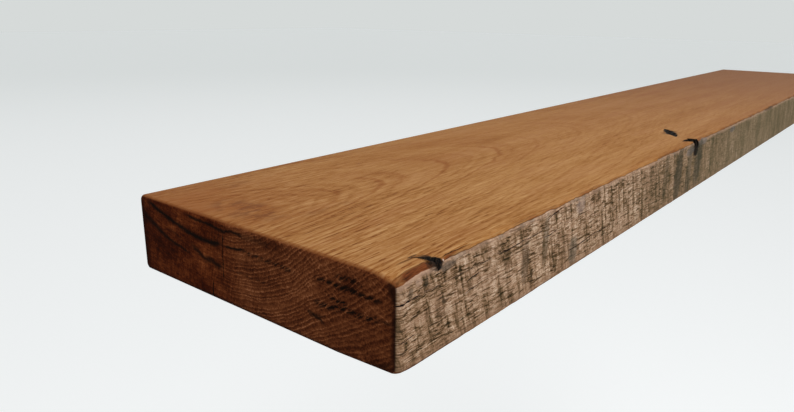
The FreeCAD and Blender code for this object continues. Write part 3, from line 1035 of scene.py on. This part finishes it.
def tornCutter(name, track, material, seed, sides=32, stations=60):
    # a torn hollow along a track of (from the free end, from the wall, half width, depth): each section is
    # flat above the surface and V-shaped below it, depth * (1 - |cos turn| ** 1.4), with stirred edges
    share = np.linspace(0, len(track) - 1, stations)
    at = resampled(np.array(track, float), share)
    centre = np.stack((freeEnd + at[:, 0], -at[:, 1], np.full(stations, slabTop)), 1)
    heading = centre[-1] - centre[0]
    heading /= np.linalg.norm(heading)
    across = np.array((-heading[1], heading[0], 0))
    turn = spread(sides)[None, :]
    left = np.cos(turn) < 0
    share = share[:, None]
    stirred = 1 + 0.20 * lumps(share * 4, left * 3.0, seed) + 0.16 * lumps(share * 13, left * 7.0, seed + 1)
    sideways = at[:, 2:3] * stirred * np.cos(turn)
    ragged = 1 + 0.30 * lumps(share * 6, np.cos(turn) * 3 + 9, seed + 2)
    below = -at[:, 3:] * ragged * (1 - np.abs(np.cos(turn)) ** 1.4)
    upward = np.where(np.sin(turn) < 0, below, slab["outside"] * np.sin(turn))
    points = centre[:, None] + across * sideways[..., None] + np.array((0, 0, 1)) * upward[..., None]
    return skinned(name, points, material)


# Hollows that old nails left: distance from the free end and from the wall, half width and depth
nailTracks = (
    ((25.6, 200.6, 0.2, 0.3), (28.4, 204, 0.9, 1.3), (30.4, 208, 2.2, 3.0), (31.0, 212, 3.2, 4.6),
     (31.0, 218, 4.2, 5.8)),
    ((434, 204, 0.4, 0.4), (441, 207, 4.0, 2.8), (447, 210.5, 8.0, 7.0), (450, 218, 11.0, 11.5)),
    ((494, 168.5, 0.6, 0.4), (484, 175.0, 4.4, 2.8), (468, 184.5, 4.8, 3.0), (454.5, 192, 0.6, 0.4)),
)


# A smaller one beside the first, with oiled sides
oiledTrack = ((27, 206, 0.2, 0.2), (26.4, 210, 1.2, 1.0), (25.2, 213.5, 1.8, 1.7), (24.4, 218, 2.3, 2.4))

# Checks in the front edge: (distance from the free end, height above the underside) of each point, half width
# and depth
frontChecks = (
    (((-2, 36.8), (5, 37.3), (17, 37.4)), 0.46, 4.5),
    (((19, 37.4), (26, 37.2), (33, 37.0)), 0.28, 2.0),
    (((35, 37.0), (50, 37.2), (80, 37.6)), 0.30, 2.2),
    (((84, 37.8), (96, 37.6), (118, 38.0)), 0.50, 2.6),
    (((117, 38.0), (128, 38.4), (139, 38.4)), 0.36, 2.0),
    (((-2, 17.6), (6, 17.8), (14, 18.6)), 0.36, 2.0),
    (((55, 25.0), (60, 25.8), (68, 26.2)), 0.34, 1.6),
    (((55, 31.0), (61, 32.4), (69, 32.8)), 0.34, 1.6),
    (((166, 14.2), (188, 14.0), (205, 15.0), (214, 16.4), (232, 15.2), (250, 16.0)), 0.42, 2.0),
    (((139, 41.4), (144, 43.6), (151, 45.4), (166, 47.0)), 0.40, 1.4),
    (((139, 33.0), (149, 33.4), (160, 34.0)), 0.34, 1.6),
)

# Checks in the free end: (distance from the wall, height above the underside) of each point, half width and
# depth
endChecks = (
    (((86.0, 44.8), (85.0, 30.0), (84.3, 13.5)), 0.44, 8.0),
    (((73.6, 11.5), (73.2, 4.0), (73.0, -2.0)), 0.55, 6.0),
)


def slabCutters():
    # three groups, within which no cutter meets another
    barLow, barHigh, _ = boxOf("wall_bar")
    gap = slab["grooveClearance"]
    low, high = barLow - gap, barHigh + gap
    flatEdges = ((0, 0), (high[1] - low[1], 0))
    groove = [roundedPlate("grooveCut", low, high, slab["grooveCorner"], flatEdges, boredOak)]
    wide, narrow = [], []
    for node in nodesNamed("support_rod"):
        rodLow, _, middle = boxOf(node)
        mouth = (middle[0], low[1] + slab["boreStart"], middle[2])
        tip = (middle[0], rodLow[1] - slab["boreSpare"], middle[2])
        wide.append(rodCutter(node + "Bore", mouth, tip, slab["boreRadius"], slab["drillPointDegrees"]))
    for node in nodesNamed("threaded_insert"):
        insertLow, insertHigh, (x, y, _) = boxOf(node)
        seatRadius = (insertHigh[0] - insertLow[0]) / 2
        seatTop = insertHigh[2]
        wide.append(rodCutter(node + "Seat", (x, y, slabUnder - 2), (x, y, seatTop), seatRadius))
        narrow.append(rodCutter(node + "Way", (x, y, seatTop - 1), (x, y, -1), slab["lockWayRadius"]))
    for i, track in enumerate(nailTracks):
        wide.append(tornCutter(f"nailCut{i}", track, blackenedOak, 70 + 3 * i))
    narrow.append(tornCutter("nailCut3", oiledTrack, oiledOak, 79))
    for i, (line, half, depth) in enumerate(frontChecks):
        path = [(freeEnd + a, slabFront + 0.3, slabUnder + b) for a, b in line]
        cutter = wedgeCutter(f"frontCut{i}", path, half, depth, (0, 1, 0), (0, 0, 1), 90 + 5 * i)
        (wide if i % 2 else narrow).append(cutter)
    for i, (line, half, depth) in enumerate(endChecks):
        path = [(freeEnd, -a, slabUnder + b) for a, b in line]
        wide.append(wedgeCutter(f"endCut{i}", path, half, depth, (1, 0, 0), (0, 1, 0), 130 + 5 * i))
    return groove, wide, narrow


oakSlab = slabSurface()
carve(oakSlab, slabCutters(), slab["sharpDegrees"])
dress(oakSlab, "shelf", "oak_slab")
print("slab carved:", len(oakSlab.data.polygons), "faces")


steel = {
    "rodRadius": 6.35,
    "coat": (colour(64, 64, 67), colour(82, 82, 84)),
    "burntCoat": colour(92, 78, 66),
    "dust": colour(128, 126, 122),
    "bare": colour(176, 175, 172),
    "drawn": (colour(150, 150, 152), colour(200, 200, 201)),
    "scratch": colour(108, 106, 104),
    "tarnish": colour(136, 122, 106),
    "weld": ramped(             # from the middle of the weld to its edges
        (0, 170, 167, 162), (0.45, 150, 140, 124), (0.68, 150, 112, 74), (0.84, 104, 70, 96), (1, 66, 76, 112)
    ),
    "ground": colour(192, 190, 186),
    "zinc": ramped((0.3, 204, 186, 122), (0.48, 222, 206, 156), (0.62, 216, 186, 152), (0.76, 178, 190, 134)),
    "zincSpeck": colour(120, 108, 84),
    "brass": (colour(196, 164, 98), colour(226, 202, 144)),
    "brassTarnish": colour(140, 104, 62),
    "oxide": (colour(50, 50, 53), colour(78, 74, 72)),
}


def fromAxes(s, nodes):
    # the distance from the nearest axis along Y of some nodes, which stand in mirrored pairs
    x, y, z = s.split(s.place)
    nearest = None
    for centre in sorted({round(abs(float(boxOf(node)[2][0])), 1) for node in nodes}):
        away = ((abs(x) - centre) ** 2 + z ** 2) ** 0.5
        nearest = away if nearest is None else nearest.math("MINIMUM", away)
    return nearest, y


def powderCoatMaterial():
    # satin black, burnt back round the welds and rubbed bright round the screw heads
    s = materialShader("powderCoat")
    fromRod, y = fromAxes(s, nodesNamed("support_rod"))
    fromScrew, _ = fromAxes(s, nodesNamed("wall_screw"))
    peel = s.noise(s.place, (1.3, 1.3, 1.3), 2.0, seed=1.4)
    cloud = s.noise(s.place, (50, 24, 24), 3.0, 0.6, seed=2.2)
    scuffs = s.ease(s.noise(s.place, (15, 0.5, 0.4), 2.0, 0.6, seed=5.2), 0.64, 0.74)
    dust = s.ease(s.noise(s.place, (7, 7, 7), 4.0, 0.7, seed=8.1), 0.5, 0.8)
    burnt = s.fall(fromRod + (cloud - 0.5) * 6, 9.4, 13.0) * s.ease(y, -3.0, -0.8)
    rubbed = s.fall(fromScrew + (cloud - 0.5) * 1.5, 6.3, 6.8) * s.fall(y, -5.9, -5.0)
    bare = (burnt * 0.2).math("MAXIMUM", rubbed)
    base = s.layered(
        s.mix(cloud, *steel["coat"]),
        (scuffs * 0.35 + dust * 0.12, steel["dust"]),
        (burnt * 0.8, steel["burntCoat"]),
        (bare, steel["bare"]),
    )
    rough = 0.42 + cloud * 0.14 + scuffs * 0.12 + burnt * 0.15
    return s.finish(base, rough, metal=bare, bump=peel, bumpHeight=0.03)


def drawnSteelMaterial():
    # bright bar with draw lines along it and a thin tarnish
    s = materialShader("drawnSteel")
    lines = s.noise(s.place, (0.24, 80, 0.24), 2.0, 0.6, seed=2.7)
    marks = s.ease(s.noise(s.place, (0.6, 26, 0.6), 2.0, 0.6, seed=7.4), 0.62, 0.72)
    cloud = s.noise(s.place, (8, 20, 8), 4.0, 0.65, seed=6.2)
    base = s.layered(
        s.mix(s.ease(lines, 0.34, 0.7), *steel["drawn"]),
        (s.ease(cloud, 0.52, 0.74) * 0.55, steel["tarnish"]),
        (marks * 0.4, steel["scratch"]),
    )
    rough = 0.27 + lines * 0.14 + cloud * 0.12
    return s.finish(base, rough, metal=1.0, bump=lines - marks * 0.4, bumpHeight=0.03)


def weldMaterial():
    # bright where it was ground, straw and blue at its edges
    s = materialShader("weldMetal")
    fromRod, _ = fromAxes(s, nodesNamed("support_rod"))
    stir = s.noise(s.place, (1.4, 1.4, 1.4), 3.0, 0.6, seed=3.2)
    ground = s.noise(s.place, (0.16, 9, 14), 2.0, 0.6, seed=4.7)
    tint = abs(fromRod - steel["rodRadius"]) * 0.36 + (stir - 0.5) * 0.5
    base = s.mix(s.ease(ground, 0.4, 0.7) * 0.4, s.ramp(tint, steel["weld"]), steel["ground"])
    return s.finish(base, 0.30 + stir * 0.25, metal=1.0, bump=ground * 0.5 + stir, bumpHeight=0.05)


def yellowZincMaterial():
    # a thin yellow film that turns pink and green in places
    s = materialShader("yellowZinc")
    film = s.noise(s.place, (2.6, 5, 2.6), 3.0, 0.6, seed=3.8)
    specks = s.ease(s.noise(s.place, (0.5, 0.5, 0.5), 2.0, 0.6, seed=9.3), 0.62, 0.74)
    base = s.mix(specks * 0.35, s.ramp(film, steel["zinc"]), steel["zincSpeck"])
    return s.finish(base, 0.28 + film * 0.16, metal=1.0, bump=specks, bumpHeight=-0.02)


def brassMaterial():
    # turning marks run round the axis
    s = materialShader("turnedBrass")
    rings = s.noise(s.place, (40, 40, 0.14), 1.0, 0.6, seed=4.6)
    cloud = s.noise(s.place, (3, 3, 3), 3.0, 0.6, seed=7.7)
    base = s.mix(cloud * 0.7 + rings * 0.3, *steel["brass"])
    base = s.mix(s.ease(cloud, 0.55, 0.8) * 0.4, base, steel["brassTarnish"])
    return s.finish(base, 0.26 + cloud * 0.18, metal=1.0, bump=rings, bumpHeight=0.02)


def blackOxideMaterial():
    # oiled, and worn grey where it is stirred by handling
    s = materialShader("blackOxide")
    cloud = s.noise(s.place, (1.6, 1.6, 1.6), 3.0, 0.6, seed=2.4)
    grit = s.noise(s.place, (0.25, 0.25, 0.25), 2.0, 0.6, seed=5.9)
    base = s.mix(s.ease(cloud, 0.4, 0.7), *steel["oxide"])
    return s.finish(base, 0.30 + cloud * 0.2, metal=0.5, bump=grit, bumpHeight=0.02)


powderCoat = powderCoatMaterial()
drawnSteel = drawnSteelMaterial()
weldMetal = weldMaterial()
yellowZinc = yellowZincMaterial()
turnedBrass = brassMaterial()
blackOxide = blackOxideMaterial()
print("metal materials made")

bar = {
    "corner": 6.0,              # of the outline
    "edge": 0.6,                # rounding of the long edges
    "flatInset": 2.5,           # a ring of points inside each face keeps its shading flat
    "sharpDegrees": 35,
    "screwHole": 3.6,
    "sinkSpare": 0.15,          # between the countersink and the screw's head
    "weldBevel": 2.5,
    "outside": 1,               # how far a cutter stands out of the surface it cuts
}


towardsWall = (0, 1, 0)
towardsRoom = (0, -1, 0)
upwards = (0, 0, 1)


def standing(node, axis):
    # the foot, outer radius and length of a turned piece that lies along an axis
    low, high, foot = boxOf(node)
    along = 2 if axis == upwards else 1
    foot[along] = high[along] if axis == towardsRoom else low[along]
    return foot, (high[0] - low[0]) / 2, high[along] - low[along]


def barPiece():
    low, high, _ = boxOf("wall_bar")
    thick = high[1] - low[1]
    turn = np.linspace(0, math.pi / 2, 5)
    rounding = bar["edge"] * np.stack((1 - np.cos(turn), 1 - np.sin(turn)), 1)
    front = [(0, bar["flatInset"]), *rounding]
    back = [(thick - drop, inset) for drop, inset in front[::-1]]
    piece = roundedPlate("wallBar", low, high, bar["corner"], front + back, powderCoat)
    hole, bevel, past = bar["screwHole"], bar["weldBevel"], bar["outside"]
    cutters = []
    for node in nodesNamed("wall_screw") + nodesNamed("support_rod"):
        (x, _, z), radius, _ = standing(node, towardsWall)
        if node.startswith("wall"):
            head = radius + bar["sinkSpare"]
            stations = ((-past, head + past), (head - hole, hole), (thick + past, hole))
        else:
            stations = ((-past, radius), (thick - bevel, radius), (thick + past, radius + bevel + past))
        cutters.append(turned("hole", profileOf(*stations), (x, low[1], z), towardsWall, powderCoat))
    carve(piece, [cutters], bar["sharpDegrees"])
    dress(piece, "wall_bracket", "wall_bar")


rod = {
    "tailBevel": 2.5,
    "tipChamfer": 1.5,
    "sides": 64,
    "guard": 0.8,               # a ring this far from each bevel keeps the long side's shading straight
}


def rodPiece(node):
    # a cylinder with a bevelled tail and a chamfered tip, its edges broken by a tenth of a millimetre
    foot, radius, length = standing(node, towardsRoom)
    tail, tip, guard = rod["tailBevel"], rod["tipChamfer"], rod["guard"]
    stations = (
        (0, radius - tail - guard),
        (0, radius - tail - 0.1),
        (0.1, radius - tail + 0.05),
        (tail - 0.1, radius - 0.15),
        (tail + 0.1, radius),
        (tail + guard, radius),
        (length - tip - guard, radius),
        (length - tip - 0.15, radius),
        (length - tip + 0.1, radius - 0.15),
        (length - 0.12, radius - tip + 0.05),
        (length, radius - tip - 0.12),
        (length, radius - tip - guard),
    )
    piece = turned(node + "Drawn", profileOf(*stations, sides=rod["sides"]), foot, towardsRoom, drawnSteel)
    dress(piece, "wall_bracket", node)


weld = {
    "depth": 2.4,
    "margin": 0.12,             # between the ground face and its edges
    "rows": 8,                  # of points across the face
    "ripples": 26,              # round each weld
    "rippleHeight": 0.09,
    "pitDepth": 0.06,
    "sunk": 0.03,               # below the bar's back
    "sides": 96,
    "seed": 211,
}


def weldPiece(node, seed):
    # a three-cornered ring; its face lies just below the bar's back, with half-moon ripples where the
    # grinder missed it: height = ripple height * sin(ripples * turn + 1.1 * radius) inside random patches
    foot, outer, _ = standing(node, towardsRoom)
    inner = outer - 2 * bar["weldBevel"]
    face = np.linspace(inner + weld["margin"], outer - weld["margin"], weld["rows"])[:, None]
    turn = spread(weld["sides"])[None, :]
    patch = eased(lumps(np.cos(turn) * 2 + 9, np.sin(turn) * 2 + 9, seed) * 1.6 + 0.5)
    ripple = 0.5 + 0.5 * np.sin(weld["ripples"] * turn + 1.1 * face)
    pitted = 0.5 + 0.5 * lumps(face * 1.7, np.cos(turn) * 9 + 20, seed + 1)
    sunk = weld["sunk"] + weld["rippleHeight"] * ripple * patch + weld["pitDepth"] * pitted
    root = (weld["depth"], (outer + inner) / 2)
    profile = profileOf((sunk, face + 0 * turn), root, sides=weld["sides"])
    piece = turned(node + "Ground", profile, foot, towardsRoom, weldMetal, closed=True)
    dress(piece, "wall_bracket", node)


def fromMiddle(count, sides, shift=0.0):
    # for each direction round an axis, its angle from the middle of the nearest of count equal sectors
    return np.mod(spread(sides) + shift, 2 * math.pi / count) - math.pi / count


def polygonRadius(acrossFlats, corners, sides):
    # radius of a regular polygon in each direction: half its width over the cosine of the angle from a flat
    return acrossFlats / 2 / np.cos(fromMiddle(corners, sides))


def lobedRadius(core, lobe, count, sides):
    # radius of a circle with smaller circles centred on its rim, in each direction
    fromLobe = fromMiddle(count, sides, math.pi / count)
    reach = core * np.cos(fromLobe) + np.sqrt(np.clip(lobe ** 2 - (core * np.sin(fromLobe)) ** 2, 0, None))
    return np.maximum(core, reach)


def threadGrid(start, end, pitch, root, crest, flank, sides, perPitch=12):
    # radius = root + (crest - root) * ridge, where the ridge is a triangle wave of along / pitch - turn that
    # takes up a share, flank, of each pitch; it fades out over one pitch at both ends
    steps = int(round((end - start) / pitch * perPitch))
    along = np.linspace(start, end, steps)[:, None]
    turn = np.linspace(0, 1, sides, endpoint=False)[None, :]
    climb = np.mod(along / pitch - turn, 1)
    ridge = np.clip((1 - np.abs(2 * climb - 1) / flank) * 1.15, 0, 1)
    ridge = ridge * eased((along - start) / pitch) * eased((end - along) / pitch)
    return along + 0 * turn, root + (crest - root) * ridge


screw = {
    "sides": 48,
    "driveCore": 2.0,
    "driveLobe": 0.75,
    "driveLobes": 6,
    "driveDepth": 3.0,
    "collar": 3.4,
    "collarEnd": 6.0,
    "threadCrest": 3.15,
    "threadRoot": 2.15,
    "threadPitch": 2.8,
    "threadFlank": 0.62,
    "pointLength": 9.0,
    "pointRadius": 0.3,
}


def wallScrewPiece(node):
    # one profile from the floor of the drive, over the head and along the thread to the point
    foot, head, length = standing(node, towardsWall)
    sides, collar, end = screw["sides"], screw["collar"], screw["collarEnd"]
    drive = lobedRadius(screw["driveCore"], screw["driveLobe"], screw["driveLobes"], sides)
    stations = (
        (screw["driveDepth"], drive * 0.6),
        (screw["driveDepth"] - 0.25, drive),
        (0.2, drive),
        (0.0, drive + 0.18),
        (0.0, head - 1.2),
        (0.0, head - 0.42),
        (0.1, head - 0.2),
        (0.32, head - 0.32),
        (head - collar, collar),
        (end - 0.25, collar),
        (end, collar - 0.3),
        (end + 0.5, screw["threadRoot"] + 0.2),
    )
    pitch, root, crest = screw["threadPitch"], screw["threadRoot"], screw["threadCrest"]
    along, radius = threadGrid(end + 0.8, length - 0.4, pitch, root, crest, screw["threadFlank"], sides)
    taper = np.clip((length - along) / screw["pointLength"], 0, 1)
    radius = screw["pointRadius"] + (radius - screw["pointRadius"]) * taper
    profile = profileOf(*stations, (along, radius), (length, 0.1), sides=sides)
    piece = turned(node + "Zinc", profile, foot, towardsWall, yellowZinc)
    dress(piece, "wall_bracket", node)


insert = {
    "sides": 48,
    "outerRoot": 4.3,
    "outerPitch": 1.9,
    "outerFlank": 0.7,
    "boreGroove": 3.35,
    "borePitch": 1.0,
    "boreFlank": 0.9,
    "bore": 3.0,
    "hexDepth": 2.6,
    "hexAcrossFlats": 6.3,
    "topChamfer": 0.8,
}


def insertPiece(node):
    # a closed profile: up the outside over the coarse thread, over the rim, down the threaded bore and out
    # through the hexagonal mouth
    foot, outer, length = standing(node, upwards)
    sides, bore, root, hexDepth = (insert[key] for key in ("sides", "bore", "outerRoot", "hexDepth"))
    mouth = polygonRadius(insert["hexAcrossFlats"], 6, sides)
    top = length - insert["topChamfer"]
    outside = threadGrid(0.9, top, insert["outerPitch"], root, outer, insert["outerFlank"], sides)
    pitch, groove, flank = insert["borePitch"], insert["boreGroove"], insert["boreFlank"]
    inside = threadGrid(hexDepth + 0.5, length - 0.5, pitch, bore, groove, flank, sides)
    profile = profileOf(
        (0.0, mouth + 0.15),
        (0.0, outer - 0.2),
        (0.15, outer),
        (0.7, outer),
        outside,
        (length, root - 0.2),
        (length, bore + 0.25),
        (length - 0.3, bore),
        [grid[::-1] for grid in inside],
        (hexDepth + 0.2, bore),
        (hexDepth, mouth),
        (0.15, mouth),
        sides=sides,
    )
    piece = turned(node + "Brass", profile, foot, upwards, turnedBrass, closed=True)
    dress(piece, "shelf", node)


lock = {
    "sides": 48,
    "threadRoot": 2.4,
    "pitch": 1.0,
    "flank": 0.9,
    "chamfer": 0.7,
    "hexAcrossFlats": 3.0,
    "hexDepth": 4.0,
    "cup": 1.3,                 # radius of the hollow in the point
    "cupDepth": 0.7,
}


def lockPiece(node, body):
    # from the floor of the hexagonal socket, over the chamfer and up the thread to the cupped point
    foot, crest, length = standing(node, upwards)
    sides, root, chamfer = lock["sides"], lock["threadRoot"], lock["chamfer"]
    socket = polygonRadius(lock["hexAcrossFlats"], 6, sides)
    profile = profileOf(
        (lock["hexDepth"] + 0.5, 0.3),
        (lock["hexDepth"], socket),
        (0.15, socket),
        (0.0, socket + 0.12),
        (0.0, crest - chamfer),
        (chamfer * 0.8, crest - 0.15),
        threadGrid(chamfer, length - chamfer, lock["pitch"], root, crest, lock["flank"], sides),
        (length - chamfer * 0.8, root),
        (length, crest - chamfer - 0.3),
        (length, lock["cup"]),
        (length - lock["cupDepth"], 0.2),
        sides=sides,
    )
    piece = turned(node + "Black", profile, foot, upwards, blackOxide)
    dress(piece, body, node)


barPiece()
for node in nodesNamed("support_rod"):
    rodPiece(node)
for i, node in enumerate(nodesNamed("rod_weld")):
    weldPiece(node, weld["seed"] + 2 * i)
for node in nodesNamed("wall_screw"):
    wallScrewPiece(node)
print("bracket built")
for node in nodesNamed("threaded_insert"):
    insertPiece(node)
for node, body in zip(nodesNamed("lock_screw"), ("left_lock", "right_lock")):
    lockPiece(node, body)
print("inserts and lock screws built")


camera = {
    "place": (-0.9092, -0.3828, 0.1386),
    "yawDegrees": 50.82,        # from +Y towards +X
    "pitchDegrees": 16.45,      # downwards
    "rollDegrees": 0.7076,
    "lens": 29.787,
}
yaw, pitch, roll = (math.radians(camera[k]) for k in ("yawDegrees", "pitchDegrees", "rollDegrees"))
forward = Vector((math.sin(yaw) * math.cos(pitch), math.cos(yaw) * math.cos(pitch), -math.sin(pitch)))
level = Vector((math.cos(yaw), -math.sin(yaw), 0))
upward = level.cross(forward)
rightward = level * math.cos(roll) + upward * math.sin(roll)
upward = upward * math.cos(roll) - level * math.sin(roll)
seen = bpy.data.cameras.new("camera")
seen.lens = camera["lens"]
seen.sensor_width = 36
seen.clip_start = 0.01
cameraObject = placed("camera", seen)
cameraObject.matrix_world = Matrix((
    (rightward.x, upward.x, -forward.x, camera["place"][0]),
    (rightward.y, upward.y, -forward.y, camera["place"][1]),
    (rightward.z, upward.z, -forward.z, camera["place"][2]),
    (0, 0, 0, 1),
))
bpy.context.scene.camera = cameraObject

studio = {
    "floorHeight": -1.2,
    "floorReach": 40.0,
    "paleFloor": colour(206, 207, 207),
    "nearGlow": colour(190, 191, 192),      # added only where the camera sees the floor, so its shadow stays
    "farGlow": colour(166, 169, 169),
    "glowReach": (1500, 16000),             # how far from the shelf the one gives way to the other
    "roomReach": (300, 1600),               # and how far out into the room, where the lamps light the floor
    "paleWorld": colour(214, 218, 217),
    "worldStrength": 0.66,
    "key": {"place": (-0.2, -1.5, 2.0), "aim": (-0.2, -0.1, 0), "size": 1.4, "watts": 31},
    "fill": {"place": (-1.4, -1.7, 1.1), "aim": (-0.4, -0.1, 0), "size": 1.8, "watts": 12},
}


def floor():
    # a flat square grid, far below the shelf
    reach, height = studio["floorReach"] / mm, studio["floorHeight"] / mm
    steps = np.linspace(-reach, reach, 9)
    across, along = np.meshgrid(steps, steps, indexing="ij")
    points = np.stack((across, along, np.full_like(across, height)), -1).reshape(-1, 3)
    s = materialShader("paleFloor")
    x, y, _ = s.split(s.place)
    fromShelf = s.ease((x * x + y * y) ** 0.5, *studio["glowReach"])
    share = fromShelf.math("MAXIMUM", s.ease(y * -1, *studio["roomReach"]))
    glow = {
        "Emission Color": s.mix(share, studio["nearGlow"], studio["farGlow"]),
        "Emission Strength": s.node("LightPath", {}, {}, "Is Camera Ray"),
    }
    material = s.finish(studio["paleFloor"], 0.9, specular=0.1, **glow)
    made = makePiece("floor", points, gridQuads(9, 9).tolist(), [material])


def studioLamp(name):
    settings = studio[name]
    light = bpy.data.lights.new(name + "Lamp", "AREA")
    light.shape = "DISK"
    light.size = settings["size"]
    light.energy = settings["watts"]
    made = placed(name + "Lamp", light)
    made.location = settings["place"]
    towards = Vector(settings["aim"]) - Vector(settings["place"])
    made.rotation_euler = towards.to_track_quat("-Z", "Y").to_euler()


def world():
    # pale where it is seen directly, in a reflection or through something, and dimmer as a light
    s = Shader(bpy.data.worlds.new("studioWorld"))
    direct, mirrored, through = (
        s.node("LightPath", {}, {}, f"Is {kind} Ray") for kind in ("Camera", "Glossy", "Transmission")
    )
    seenShare = direct.math("MAXIMUM", mirrored).math("MAXIMUM", through)
    strength = s.node("MapRange", {}, {0: seenShare, 3: studio["worldStrength"]})
    background = s.node("Background", {}, {"Color": studio["paleWorld"], "Strength": strength})
    s.node("OutputWorld", {}, {0: background})
    bpy.context.scene.world = s.owner


floor()
world()
studioLamp("key")
studioLamp("fill")
bpy.context.scene.view_settings.view_transform = "Standard"
print("studio ready")
